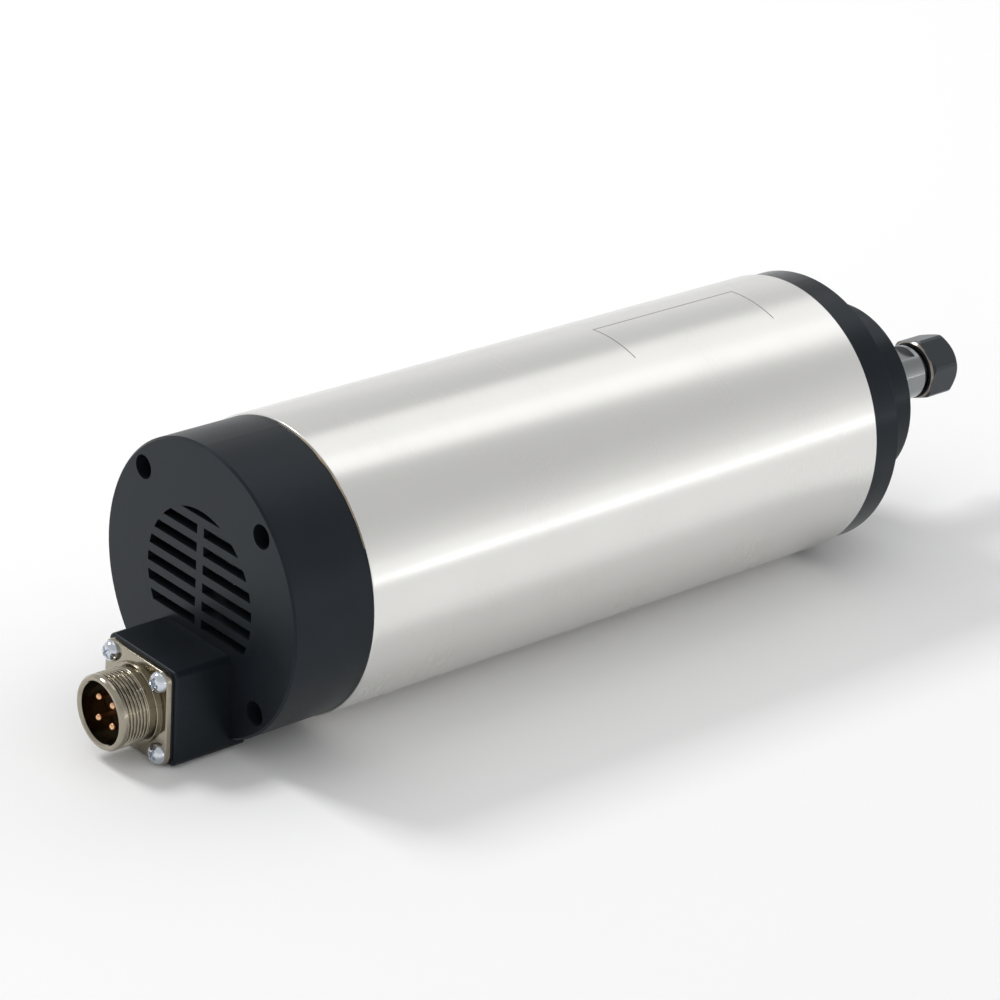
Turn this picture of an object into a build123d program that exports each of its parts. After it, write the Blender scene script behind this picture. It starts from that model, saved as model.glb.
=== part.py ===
from build123d import *
import os
from math import cos, pi, radians, sin, sqrt, tan

os.makedirs("parts", exist_ok=True)

# All sizes are in mm. The spindle axis is X, pointing from the rear cap to the
# collet, +Z is up, and x = 0 is the middle of the clamped body.

# ---- Fits and clearances ----
seat_gap = 0.05          # radial, between a piece and the seat that holds it
taper_gap = 0.06         # between the collet and the two cones that close it
thread_gap = 0.08        # radial, nut thread over spindle thread
lip_gap = 0.3            # between the nut and the groove and face of the collet
ball_gap = 0.06          # between a ball and its raceways or cage pocket
running_gap = 0.3        # radial, labyrinth ring in the nose cap
small_socket = 1.25      # hexagon of an M3 screw, across flats / 2

# ---- Body ----
body_radius = 40.0
body_length = 180.0
tube_wall = 1.5

# ---- Finned stator housing ----
fin_height = 4.5
housing_ring_wall = 3.0
fin_count = 24
fin_width = 1.6
fin_tip_gap = 0.15
boss_rib_count = 4
boss_rib_width = 9.0
boss_rib_angle = 45.0

# ---- Stator ----
stator_bore_share = 0.5645 # of the radius of the core
stator_length = 70.0
stator_middle_x = -3.0
slot_count = 24
slot_mouth_width = 1.6
slot_width = 3.0
slot_root_depth = 1.5    # of the slots behind the bore
back_iron = 2.8          # between the slots and the outside of the core
wedge_thickness = 0.8
slot_liner = 0.2
end_turn_length = 16.0
end_turn_rounding = 0.38 # share of the depth of the coil

# ---- Rotor ----
air_gap = 0.4
rotor_seat_radius = 10.0
rotor_bar_count = 16
rotor_bar_radius = 1.3
rotor_bar_depth = 2.7    # of the middles of the bars inside the bore of the stator
end_ring_length = 8.0
end_ring_inner_radius = 11.5
balance_ring_length = 4.0
balance_ring_radius = 15.5

# ---- Front flange ----
flange_inset = 0.7       # behind the outside of the tube
flange_thickness = 10.0
flange_edge = 0.8
register_depth = 6.0
hub_radius = 23.5
hub_reach = 8.0
hub_shoulder = 4.0
shoulder_bore_radius = 14.5
flange_screw_inset = 4.0 # inside the bore of the tube
flange_screw_radius = 2.0
flange_screw_head_radius = 3.5
flange_screw_head_height = 4.0
flange_screw_socket = 1.5
flange_screw_sink = 0.2
flange_screw_length = 20.0
outlet_inset = 3.3
outlet_width = 3.2
outlet_sweep = 13.0      # degrees
outlets_per_quarter = 3
outlet_spacing = 21.0    # degrees

# ---- Nose cap ----
nose_radius = 26.5
nose_length = 19.0
nose_edge = 0.8
nose_lip = 2.0
nose_screw_circle = 20.5
nose_screw_radius = 1.5
nose_screw_head_radius = 2.75
nose_screw_head_height = 3.0
nose_screw_length = 16.0
nose_screw_sink = 0.4

# ---- Bearings ----
front_bearing_bore = 8.5
front_bearing_radius = 17.5
front_bearing_width = 10.0
front_ball_radius = 2.38
front_ball_count = 9
front_spacer_length = 4.0
rear_bearing_bore = 7.5
rear_bearing_radius = 16.0
rear_bearing_width = 9.0
rear_ball_radius = 2.2
rear_ball_count = 8
bearing_ring_wall = 2.7
cage_thickness = 1.5
cage_side = 0.8          # beside a ball pocket
ball_flat_share = 0.8629 # from the middle of a ball to its flats, when its corners are on the ball

# ---- Rear bell, preload spring and retaining rings ----
bell_thickness = 6.0
bell_hub_radius = 20.5
bell_lip = 2.0
bell_lip_radius = 13.6
bell_recess = 2.5
spring_length = 1.5
spring_thickness = 0.5
retaining_ring_width = 1.2
retaining_ring_bite = 0.8
retaining_ring_height = 2.6
bell_ring_opening = 7.0
shaft_ring_opening = 4.0
cable_window_inset = 11.7
cable_window_width = 10.5
cable_window_height = 4.0

# ---- Shaft ----
shaft_shoulder_radius = 10.5
rear_shoulder_radius = 9.5
lock_nut_length = 5.5
lock_nut_radius = 12.6
lock_nut_slot = 3.0
labyrinth_radius = 12.0
labyrinth_length = 6.5
labyrinth_proud = 0.8
nose_shaft_radius = 8.0
flats_across = 13.5
flats_length = 9.0
flats_back_from_nut = 3.5
shaft_thread_radius = 7.0
shaft_thread_length = 6.2
thread_run_out = 0.5     # of the thread behind the nut
shaft_relief_radius = 6.5
shaft_relief_length = 1.6
exposed_shaft_length = 27.5
shaft_edge = 0.5
socket_back_radius = 3.4
socket_back_depth = 10.0
fan_seat_radius = 5.0

# ---- Collet and nut ----
collet_bore_radius = 3.175
collet_max_radius = 5.75
collet_length = 18.0
collet_half_angle = 8.0
collet_groove_radius = 4.85
collet_groove_width = 1.3
collet_head_length = 2.9
collet_head_radius = 5.5
collet_head_half_angle = 30.0
collet_slit_width = 0.6
collet_slit_length = 14.5
collet_recess = 0.8      # front of the collet behind the front of the nut
nut_across_flats = 17.0
nut_corner_radius = 9.5
nut_length = 11.3
nut_turn = 10.0          # degrees, where a flat faces at rest
nut_chamfer = 1.1

# ---- Rear cap ----
cap_inset = 0.5          # behind the outside of the tube
cap_length = 24.5
cap_wall = 3.4
cap_face_wall = 3.0
cap_edge = 0.6
cap_spigot_depth = 4.0
cap_spigot_wall = 2.4
cap_screw_inset = 3.9
cap_screw_radius = 1.5
cap_screw_head_radius = 2.75
cap_screw_head_height = 2.4
cap_screw_seat_depth = 15.0
cap_screw_recess_radius = 3.25
cap_boss_radius = 4.3
cap_screw_engagement = 8.0
grille_radius = 21.7
grille_pitch = 5.1
grille_slot = 2.65
grille_rib = 2.7
grille_rise = 1.0        # how far the middle slot lies above the axis
grille_slots_above = 4
grille_slots_below = 2

# ---- Connector block, moulded on the rear cap ----
block_width = 28.8
block_height = 26.7
block_bottom_gap = 0.3   # above the lowest line of the body
block_reach = 16.9       # behind the face of the cap
block_grip = 5.0         # ahead of the face of the cap
block_corner = 2.0
block_wall = 2.6
block_boss_radius = 2.9

# ---- Connector ----
gasket_thickness = 0.6
plate_size = 26.4
plate_thickness = 1.4
plate_corner = 3.0
plate_hole_spacing = 20.2
plate_hole_radius = 1.65
shell_radius = 10.0
shell_bore_radius = 8.2
shell_length = 11.2
shell_rim = 0.7
shell_neck_radius = 9.2
shell_neck_length = 1.4
shell_ring_radius = 10.8
shell_ring_length = 1.0
shell_tail_radius = 9.2
shell_tail_length = 7.0
shell_tail_gap = 0.2
shell_key_width = 1.6
shell_key_height = 0.9
insulator_front = 1.2    # how far it stands in front of the plate
pin_count = 4
pin_radius = 1.25
pin_circle = 4.2
pin_length = 18.1
pin_proud = 7.0          # in front of the insulator
cup_depth = 3.0          # solder cup at the back of a pin
plate_screw_radius = 1.5
plate_screw_head_radius = 2.8
plate_screw_head_height = 2.2
plate_screw_length = 8.0

# ---- Leads ----
lead_count = 3
lead_radius = 0.85
lead_spacing = 2.7
lead_channel_inset = 1.2 # inside the wall of the cap
lead_bend = 3.6

# ---- Fan ----
fan_boss_gap = 1.3       # between the fan and the screw bosses of the cap
fan_plate_thickness = 1.5
fan_blade_depth = 9.0
fan_blade_count = 9
fan_blade_thickness = 1.4
fan_blade_root = 13.0
fan_blade_arc_radius = 20.0
fan_hub_radius = 8.0
fan_hub_length = 9.0
fan_hub_front = 1.5
fan_to_bell = 11.5
fan_screw_radius = 2.0
fan_screw_head_radius = 3.2
fan_screw_head_height = 2.6
fan_screw_length = 12.0

# ---- Stations along the axis ----
tube_bore = body_radius - tube_wall
housing_ring_radius = tube_bore - fin_height
stator_radius = housing_ring_radius - housing_ring_wall
stator_bore_radius = stator_radius * stator_bore_share
slot_root_radius = stator_bore_radius + slot_root_depth
slot_depth = stator_radius - back_iron - slot_root_radius
rotor_bar_circle = stator_bore_radius - rotor_bar_depth
flange_radius = body_radius - flange_inset
flange_screw_circle = tube_bore - flange_screw_inset
outlet_circle = tube_bore - outlet_inset
cable_window_radius = tube_bore - cable_window_inset
cap_radius = body_radius - cap_inset
cap_bore = cap_radius - cap_wall
cap_screw_circle = tube_bore - cap_screw_inset
lead_channel_radius = cap_bore - lead_channel_inset
fan_radius = cap_screw_circle - cap_boss_radius - fan_boss_gap
block_top_z = block_bottom_gap + block_height - body_radius
tube_front_x = body_length / 2
tube_rear_x = -body_length / 2
flange_front_x = tube_front_x + flange_thickness
register_x = tube_front_x - register_depth
hub_front_x = flange_front_x + hub_reach
nose_front_x = flange_front_x + nose_length
front_pair_front_x = hub_front_x - nose_lip
front_pair_rear_x = front_pair_front_x - 2 * front_bearing_width - front_spacer_length
hub_rear_x = front_pair_rear_x - hub_shoulder
bell_rear_x = tube_rear_x + cap_spigot_depth
bell_front_x = bell_rear_x + bell_thickness
rear_pair_rear_x = bell_rear_x + bell_recess
rear_pair_front_x = rear_pair_rear_x + 2 * rear_bearing_width
bell_seat_x = rear_pair_front_x + spring_length
bell_hub_front_x = bell_seat_x + bell_lip
core_rear_x = stator_middle_x - stator_length / 2
core_front_x = stator_middle_x + stator_length / 2
cap_rear_x = tube_rear_x - cap_length
cap_inner_x = cap_rear_x + cap_face_wall
cap_screw_seat_x = cap_rear_x + cap_screw_seat_depth
nut_rear_x = nose_front_x + exposed_shaft_length
nut_front_x = nut_rear_x + nut_length
collet_front_x = nut_front_x - collet_recess
collet_rear_x = collet_front_x - collet_length
collet_head_x = collet_front_x - collet_head_length
collet_groove_x = collet_head_x - collet_groove_width
shaft_thread_x = nut_rear_x - thread_run_out
shaft_front_x = shaft_thread_x + shaft_thread_length
lock_nut_front_x = front_pair_front_x + lock_nut_length
labyrinth_front_x = nose_front_x + labyrinth_proud
labyrinth_rear_x = labyrinth_front_x - labyrinth_length
fan_plate_front_x = bell_rear_x - fan_to_bell
fan_plate_rear_x = fan_plate_front_x - fan_plate_thickness
fan_hub_front_x = fan_plate_front_x + fan_hub_front
fan_hub_rear_x = fan_hub_front_x - fan_hub_length
block_rear_x = cap_rear_x - block_reach
block_front_x = cap_rear_x + block_grip
block_middle_z = block_top_z - block_height / 2
plate_rear_x = block_rear_x - gasket_thickness
plate_front_x = plate_rear_x - plate_thickness
shell_front_x = plate_front_x - shell_length
insulator_front_x = plate_front_x - insulator_front
shell_tail_x = plate_rear_x + shell_tail_length


def save(builder, name):
    """Label a finished piece and write it as a STEP file."""
    builder.part.label = name
    export_step(builder.part, f"parts/{name}.step")


def turned(outline, mode=Mode.ADD, axis_z=0.0):
    """Turn a closed outline of (x, radius) points about the axis along X at height axis_z."""
    with BuildSketch(Plane.XZ) as section:
        with BuildLine():
            Polyline(*[(x, axis_z + radius) for x, radius in outline], close=True)
        make_face()
    revolve(section.sketch, axis=Axis((0, 0, axis_z), (1, 0, 0)), mode=mode)


def bar(x_from, x_to, radius, places=((0, 0),), mode=Mode.ADD):
    """Round bars or holes along X, at places given as (y, z)."""
    with BuildSketch(Plane.YZ.offset(x_from)) as ends:
        with Locations(*places):
            Circle(radius)
    extrude(ends.sketch, amount=x_to - x_from, mode=mode)


def ring_places(radius, count, start=0.0):
    """(y, z) places evenly spaced on a circle, the first at start degrees from +Y."""
    turns = [radians(start) + 2 * pi * k / count for k in range(count)]
    return [(radius * cos(t), radius * sin(t)) for t in turns]


def ring_part(x_from, x_to, inner, outer, edge=0.0):
    """A plain ring, with its outer edges broken by a small chamfer if edge is given."""
    outline = [(x_from, inner), (x_from, outer - edge), (x_to, outer - edge), (x_to, inner)]
    if edge:
        outline[2:2] = [(x_from + edge, outer), (x_to - edge, outer)]
    turned(outline)


def hex_sockets(x_from, depth, half_width, places):
    """Cut the hexagon sockets of a set of screws, depth along X from their heads."""
    with BuildSketch(Plane.YZ.offset(x_from)) as sockets:
        with Locations(*places):
            RegularPolygon(half_width, 6, major_radius=False)
    extrude(sockets.sketch, amount=depth, mode=Mode.SUBTRACT)


def air_windows(x_from, x_to):
    """Cut the ring of curved air windows, three between each two screws."""
    quarter = 90.0
    with BuildSketch(Plane.YZ.offset(x_from)) as windows:
        for corner in range(boss_rib_count):
            for step in range(outlets_per_quarter):
                middle = corner * quarter + (step - (outlets_per_quarter - 1) / 2) * outlet_spacing
                arc = CenterArc((0, 0), outlet_circle, middle - outlet_sweep / 2, outlet_sweep)
                SlotArc(arc, outlet_width)
    extrude(windows.sketch, amount=x_to - x_from, mode=Mode.SUBTRACT)


# ================= Body and stator =================

with BuildPart() as body_tube:
    ring_part(tube_rear_x, tube_front_x, tube_bore, body_radius, edge=0.2)
save(body_tube, "body_tube")

with BuildPart() as stator_housing:
    with BuildSketch(Plane.YZ.offset(bell_front_x)):
        Circle(housing_ring_radius)
        fin_reach = tube_bore - fin_tip_gap
        with PolarLocations((housing_ring_radius + fin_reach) / 2, fin_count, 360 / fin_count / 2):
            Rectangle(fin_reach - housing_ring_radius + 1, fin_width)
        rib_root = stator_radius + 1
        with PolarLocations((rib_root + fin_reach) / 2, boss_rib_count, boss_rib_angle):
            Rectangle(fin_reach - rib_root, boss_rib_width)
        Circle(fin_reach, mode=Mode.INTERSECT)
        Circle(stator_radius + seat_gap, mode=Mode.SUBTRACT)
        with PolarLocations(cap_screw_circle, boss_rib_count, boss_rib_angle):
            Circle(cap_screw_radius + seat_gap, mode=Mode.SUBTRACT)
    extrude(amount=register_x - bell_front_x)
    screw_depth = flange_screw_length + register_depth
    bar(register_x - screw_depth, register_x, flange_screw_radius + seat_gap,
        ring_places(flange_screw_circle, boss_rib_count, boss_rib_angle), mode=Mode.SUBTRACT)
save(stator_housing, "stator_housing")

with BuildPart() as stator_core:
    with BuildSketch(Plane.YZ.offset(core_rear_x)):
        Circle(stator_radius)
        Circle(stator_bore_radius, mode=Mode.SUBTRACT)
        with PolarLocations(slot_root_radius + slot_depth / 2, slot_count):
            Rectangle(slot_depth, slot_width, mode=Mode.SUBTRACT)
        mouth_depth = slot_root_radius - stator_bore_radius + 1
        with PolarLocations(slot_root_radius + 0.5 - mouth_depth / 2, slot_count):
            Rectangle(mouth_depth, slot_mouth_width, mode=Mode.SUBTRACT)
    extrude(amount=stator_length)
save(stator_core, "stator_core")

coil_inner = slot_root_radius + wedge_thickness + 2 * slot_liner
coil_outer = slot_root_radius + slot_depth - slot_liner
end_round = end_turn_rounding * (coil_outer - coil_inner)
with BuildPart() as stator_winding:
    with BuildSketch(Plane.YZ.offset(core_rear_x - 1)):
        with PolarLocations((coil_inner + coil_outer) / 2, slot_count):
            Rectangle(coil_outer - coil_inner, slot_width - 2 * slot_liner)
    extrude(amount=stator_length + 2)
    for face_x, side in ((core_rear_x, -1), (core_front_x, 1)):
        tip_x = face_x + side * end_turn_length
        round_x = face_x + side * (end_turn_length - end_round)
        turned([(face_x, coil_inner), (round_x, coil_inner), (tip_x, coil_inner + end_round),
                (tip_x, coil_outer - end_round), (round_x, coil_outer), (face_x, coil_outer)])
save(stator_winding, "stator_winding")

with BuildPart() as slot_wedges:
    with BuildSketch(Plane.YZ.offset(core_rear_x)):
        with PolarLocations(slot_root_radius + slot_liner / 2 + wedge_thickness / 2, slot_count):
            Rectangle(wedge_thickness, slot_width - slot_liner)
    extrude(amount=stator_length)
save(slot_wedges, "slot_wedges")

# ================= Front flange and nose =================

with BuildPart() as front_flange:
    turned([
        (hub_rear_x, shoulder_bore_radius), (hub_rear_x, hub_radius), (register_x, hub_radius),
        (register_x, tube_bore - seat_gap), (tube_front_x, tube_bore - seat_gap),
        (tube_front_x, flange_radius), (flange_front_x - flange_edge, flange_radius),
        (flange_front_x, flange_radius - flange_edge), (flange_front_x, hub_radius),
        (hub_front_x, hub_radius), (hub_front_x, front_bearing_radius + seat_gap),
        (front_pair_rear_x, front_bearing_radius + seat_gap),
        (front_pair_rear_x, shoulder_bore_radius),
    ])
    corner_places = ring_places(flange_screw_circle, boss_rib_count, boss_rib_angle)
    bar(register_x, flange_front_x, flange_screw_radius + seat_gap, corner_places, Mode.SUBTRACT)
    bar(flange_front_x - flange_screw_head_height, flange_front_x,
        flange_screw_head_radius + 2 * seat_gap, corner_places, Mode.SUBTRACT)
    air_windows(register_x, flange_front_x)
    bar(hub_front_x - nose_screw_length, hub_front_x, nose_screw_radius + seat_gap,
        ring_places(nose_screw_circle, boss_rib_count), Mode.SUBTRACT)
save(front_flange, "front_flange")

with BuildPart() as flange_screws:
    bar(flange_front_x - flange_screw_head_height - flange_screw_length,
        flange_front_x - flange_screw_head_height, flange_screw_radius, corner_places)
    head_top_x = flange_front_x - flange_screw_sink
    bar(flange_front_x - flange_screw_head_height, head_top_x,
        flange_screw_head_radius, corner_places)
    hex_sockets(head_top_x, -flange_screw_head_height / 2, flange_screw_socket, corner_places)
save(flange_screws, "flange_screws")

nose_screw_places = ring_places(nose_screw_circle, boss_rib_count)
nose_bore = lock_nut_radius + 2 * running_gap
with BuildPart() as nose_cap:
    turned([
        (flange_front_x, hub_radius + 2 * seat_gap), (flange_front_x, nose_radius),
        (nose_front_x - nose_edge, nose_radius), (nose_front_x, nose_radius - nose_edge),
        (nose_front_x, labyrinth_radius + running_gap),
        (labyrinth_rear_x - running_gap, labyrinth_radius + running_gap),
        (labyrinth_rear_x - running_gap, nose_bore), (front_pair_front_x, nose_bore),
        (front_pair_front_x, front_bearing_radius - seat_gap),
        (hub_front_x, front_bearing_radius - seat_gap), (hub_front_x, hub_radius + 2 * seat_gap),
    ])
    bar(hub_front_x, nose_front_x, nose_screw_radius + seat_gap, nose_screw_places, Mode.SUBTRACT)
    nose_head_x = nose_front_x - nose_screw_head_height - nose_screw_sink
    bar(nose_head_x, nose_front_x, nose_screw_head_radius + 2 * seat_gap, nose_screw_places,
        Mode.SUBTRACT)
save(nose_cap, "nose_cap")

with BuildPart() as nose_cap_screws:
    head_top_x = nose_head_x + nose_screw_head_height
    bar(nose_head_x - nose_screw_length, nose_head_x, nose_screw_radius, nose_screw_places)
    bar(nose_head_x, head_top_x, nose_screw_head_radius, nose_screw_places)
    hex_sockets(head_top_x, -nose_screw_head_height / 2, small_socket, nose_screw_places)
save(nose_cap_screws, "nose_cap_screws")


# ================= Bearings =================

def bearing(name, x_from, bore, outside, width, ball_radius, ball_count):
    """Rings, cage and balls of one ball bearing, with raceways and balls cut as flats."""
    x_to = x_from + width
    middle = (x_from + x_to) / 2
    pitch = (bore + outside) / 2
    groove = ball_radius + ball_gap

    def raceway():
        with BuildSketch(Plane.XZ) as groove_section:
            with Locations((middle, pitch)):
                RegularPolygon(groove, 8, major_radius=False, rotation=360 / 16)
        revolve(groove_section.sketch, axis=Axis.X, mode=Mode.SUBTRACT)

    with BuildPart() as inner:
        ring_part(x_from, x_to, bore + seat_gap / 2, bore + bearing_ring_wall)
        raceway()
    save(inner, f"{name}_inner_ring")

    with BuildPart() as outer:
        ring_part(x_from, x_to, outside - bearing_ring_wall, outside)
        raceway()
    save(outer, f"{name}_outer_ring")

    with BuildPart() as cage:
        cage_half = cage_thickness / 2
        cage_width = 2 * (ball_radius + cage_side)
        ring_part(middle - cage_width / 2, middle + cage_width / 2,
                  pitch - cage_half, pitch + cage_half)
        for y, z in ring_places(1.0, ball_count):
            with BuildSketch(Plane((middle, 0, 0), x_dir=(1, 0, 0), z_dir=(0, y, z))) as pocket:
                Circle(groove)
            extrude(pocket.sketch, amount=outside, mode=Mode.SUBTRACT)
    save(cage, f"{name}_cage")

    with BuildPart() as balls:
        flat_to_flat = 2 * ball_flat_share * ball_radius
        with Locations(*[(middle, y, z) for y, z in ring_places(pitch, ball_count)]):
            Box(flat_to_flat, flat_to_flat, flat_to_flat)
        chamfer(edges(), flat_to_flat * (2 - sqrt(2)) / 2)
    save(balls, f"{name}_balls")


front_second_x = front_pair_rear_x + front_bearing_width + front_spacer_length
rear_second_x = rear_pair_rear_x + rear_bearing_width
for label, start in (("front_bearing_a", front_pair_rear_x), ("front_bearing_b", front_second_x)):
    bearing(label, start, front_bearing_bore, front_bearing_radius, front_bearing_width,
            front_ball_radius, front_ball_count)
for label, start in (("rear_bearing_a", rear_pair_rear_x), ("rear_bearing_b", rear_second_x)):
    bearing(label, start, rear_bearing_bore, rear_bearing_radius, rear_bearing_width,
            rear_ball_radius, rear_ball_count)

with BuildPart() as outer_spacer:
    ring_part(front_pair_rear_x + front_bearing_width, front_second_x,
              front_bearing_radius - bearing_ring_wall, front_bearing_radius)
save(outer_spacer, "front_outer_spacer")

with BuildPart() as inner_spacer:
    ring_part(front_pair_rear_x + front_bearing_width, front_second_x,
              front_bearing_bore + seat_gap, front_bearing_bore + bearing_ring_wall)
save(inner_spacer, "front_inner_spacer")

# ================= Rear bell =================

bell_groove_radius = rear_bearing_radius + retaining_ring_bite
with BuildPart() as rear_bell:
    turned([
        (bell_rear_x, rear_bearing_radius + seat_gap), (bell_rear_x, tube_bore - seat_gap),
        (bell_front_x, tube_bore - seat_gap), (bell_front_x, bell_hub_radius),
        (bell_hub_front_x, bell_hub_radius), (bell_hub_front_x, bell_lip_radius),
        (bell_seat_x, bell_lip_radius), (bell_seat_x, rear_bearing_radius + seat_gap),
    ])
    turned([
        (rear_pair_rear_x - retaining_ring_width - seat_gap, rear_bearing_radius - 1),
        (rear_pair_rear_x - retaining_ring_width - seat_gap, bell_groove_radius + seat_gap),
        (rear_pair_rear_x, bell_groove_radius + seat_gap),
        (rear_pair_rear_x, rear_bearing_radius - 1),
    ], mode=Mode.SUBTRACT)
    air_windows(bell_rear_x, bell_front_x)
    bar(bell_rear_x, bell_front_x, cap_screw_radius + seat_gap,
        ring_places(cap_screw_circle, boss_rib_count, boss_rib_angle), Mode.SUBTRACT)
    with BuildSketch(Plane.YZ.offset(bell_rear_x)) as cable_window:
        with Locations((0, -cable_window_radius)):
            SlotOverall(cable_window_width, cable_window_height)
    extrude(cable_window.sketch, amount=bell_thickness, mode=Mode.SUBTRACT)
save(rear_bell, "rear_bell")

with BuildPart() as bell_retaining_ring:
    ring_part(rear_pair_rear_x - retaining_ring_width, rear_pair_rear_x,
              bell_groove_radius - retaining_ring_height, bell_groove_radius)
    with BuildSketch(Plane.YZ.offset(rear_pair_rear_x - retaining_ring_width)) as ring_gap:
        with Locations((0, bell_groove_radius)):
            Rectangle(bell_ring_opening, 2 * retaining_ring_height + 2)
    extrude(ring_gap.sketch, amount=retaining_ring_width, mode=Mode.SUBTRACT)
save(bell_retaining_ring, "bell_retaining_ring")

with BuildPart() as preload_spring:
    spring_outer = rear_bearing_radius - running_gap
    spring_inner = bell_lip_radius + running_gap
    turned([(rear_pair_front_x, spring_inner + 2 * spring_thickness),
            (rear_pair_front_x, spring_outer),
            (rear_pair_front_x + spring_thickness, spring_outer),
            (bell_seat_x, spring_inner + spring_thickness), (bell_seat_x, spring_inner),
            (bell_seat_x - spring_thickness, spring_inner)])
save(preload_spring, "preload_spring")

# ================= Rotor =================

with BuildPart() as rotor_core:
    with BuildSketch(Plane.YZ.offset(core_rear_x)):
        Circle(stator_bore_radius - air_gap)
        Circle(rotor_seat_radius + seat_gap, mode=Mode.SUBTRACT)
        with PolarLocations(rotor_bar_circle, rotor_bar_count):
            Circle(rotor_bar_radius, mode=Mode.SUBTRACT)
    extrude(amount=stator_length)
save(rotor_core, "rotor_core")

with BuildPart() as rotor_cage:
    bar(core_rear_x - 1, core_front_x + 1, rotor_bar_radius - seat_gap,
        ring_places(rotor_bar_circle, rotor_bar_count))
    end_ring_radius = stator_bore_radius - air_gap - running_gap
    ring_part(core_rear_x - end_ring_length, core_rear_x, end_ring_inner_radius, end_ring_radius)
    ring_part(core_front_x, core_front_x + end_ring_length, end_ring_inner_radius, end_ring_radius)
save(rotor_cage, "rotor_cage")

for name, near_x, far_x in (
    ("balance_ring_rear", core_rear_x - end_ring_length - balance_ring_length,
     core_rear_x - end_ring_length),
    ("balance_ring_front", core_front_x + end_ring_length,
     core_front_x + end_ring_length + balance_ring_length),
):
    with BuildPart() as balance_ring:
        ring_part(near_x, far_x, rotor_seat_radius + seat_gap, balance_ring_radius)
    save(balance_ring, name)

taper_slope = tan(radians(collet_half_angle))


def collet_radius_at(x):
    """Radius of the long cone of the seated collet."""
    return collet_max_radius - (collet_groove_x - x) * taper_slope


with BuildPart() as shaft:
    nut_seat_x = shaft_thread_x - shaft_relief_length
    fan_end_x = fan_hub_rear_x
    clip_x = rear_pair_rear_x - retaining_ring_width
    turned([
        (fan_end_x, 0), (fan_end_x, fan_seat_radius), (fan_hub_front_x, fan_seat_radius),
        (fan_hub_front_x, rear_bearing_bore), (clip_x - seat_gap, rear_bearing_bore),
        (clip_x - seat_gap, rear_bearing_bore - retaining_ring_bite),
        (rear_pair_rear_x, rear_bearing_bore - retaining_ring_bite),
        (rear_pair_rear_x, rear_bearing_bore), (rear_pair_front_x, rear_bearing_bore),
        (rear_pair_front_x, rear_shoulder_radius),
        (core_rear_x - end_ring_length - balance_ring_length, rear_shoulder_radius),
        (core_rear_x - end_ring_length - balance_ring_length, rotor_seat_radius),
        (core_front_x + end_ring_length + balance_ring_length, rotor_seat_radius),
        (core_front_x + end_ring_length + balance_ring_length, shaft_shoulder_radius),
        (front_pair_rear_x, shaft_shoulder_radius), (front_pair_rear_x, front_bearing_bore),
        (lock_nut_front_x, front_bearing_bore), (lock_nut_front_x, nose_shaft_radius),
        (nut_seat_x, nose_shaft_radius), (nut_seat_x, shaft_relief_radius),
        (shaft_thread_x, shaft_relief_radius), (shaft_thread_x, shaft_thread_radius),
        (shaft_front_x - shaft_edge, shaft_thread_radius),
        (shaft_front_x, shaft_thread_radius - shaft_edge),
        (shaft_front_x, 0),
    ])
    turned([
        (collet_rear_x - socket_back_depth, 0),
        (collet_rear_x - socket_back_depth, socket_back_radius),
        (collet_rear_x - 1, socket_back_radius),
        (collet_rear_x - 1, collet_radius_at(collet_rear_x - 1) + taper_gap),
        (shaft_front_x, collet_radius_at(shaft_front_x) + taper_gap),
        (shaft_front_x, 0),
    ], mode=Mode.SUBTRACT)
    flats_front_x = nut_rear_x - flats_back_from_nut
    with BuildSketch(Plane.YZ.offset(flats_front_x - flats_length)) as flats:
        for side in (-1, 1):
            with Locations((0, side * (flats_across / 2 + nose_shaft_radius / 2))):
                Rectangle(3 * nose_shaft_radius, nose_shaft_radius)
    extrude(flats.sketch, amount=flats_length, mode=Mode.SUBTRACT)
    bar(fan_end_x, fan_end_x + fan_screw_length, fan_screw_radius + seat_gap, mode=Mode.SUBTRACT)
save(shaft, "shaft")

with BuildPart() as shaft_retaining_ring:
    clip_inner = rear_bearing_bore - retaining_ring_bite
    ring_part(clip_x, rear_pair_rear_x, clip_inner + seat_gap, clip_inner + retaining_ring_height)
    with BuildSketch(Plane.YZ.offset(clip_x)) as clip_gap:
        with Locations((0, clip_inner)):
            Rectangle(shaft_ring_opening, 2 * retaining_ring_height + 2)
    extrude(clip_gap.sketch, amount=retaining_ring_width, mode=Mode.SUBTRACT)
save(shaft_retaining_ring, "shaft_retaining_ring")

with BuildPart() as bearing_lock_nut:
    ring_part(front_pair_front_x, lock_nut_front_x, front_bearing_bore + seat_gap,
              lock_nut_radius, edge=0.5)
    with BuildSketch(Plane.YZ.offset(front_pair_front_x + 1)) as wrench_slots:
        with PolarLocations(lock_nut_radius, 4):
            Rectangle(lock_nut_slot, lock_nut_slot)
    extrude(wrench_slots.sketch, amount=lock_nut_length, mode=Mode.SUBTRACT)
save(bearing_lock_nut, "bearing_lock_nut")

with BuildPart() as labyrinth_ring:
    ring_part(labyrinth_rear_x, labyrinth_front_x, nose_shaft_radius + seat_gap,
              labyrinth_radius, edge=0.5)
save(labyrinth_ring, "labyrinth_ring")

# ================= Fan =================

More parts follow.
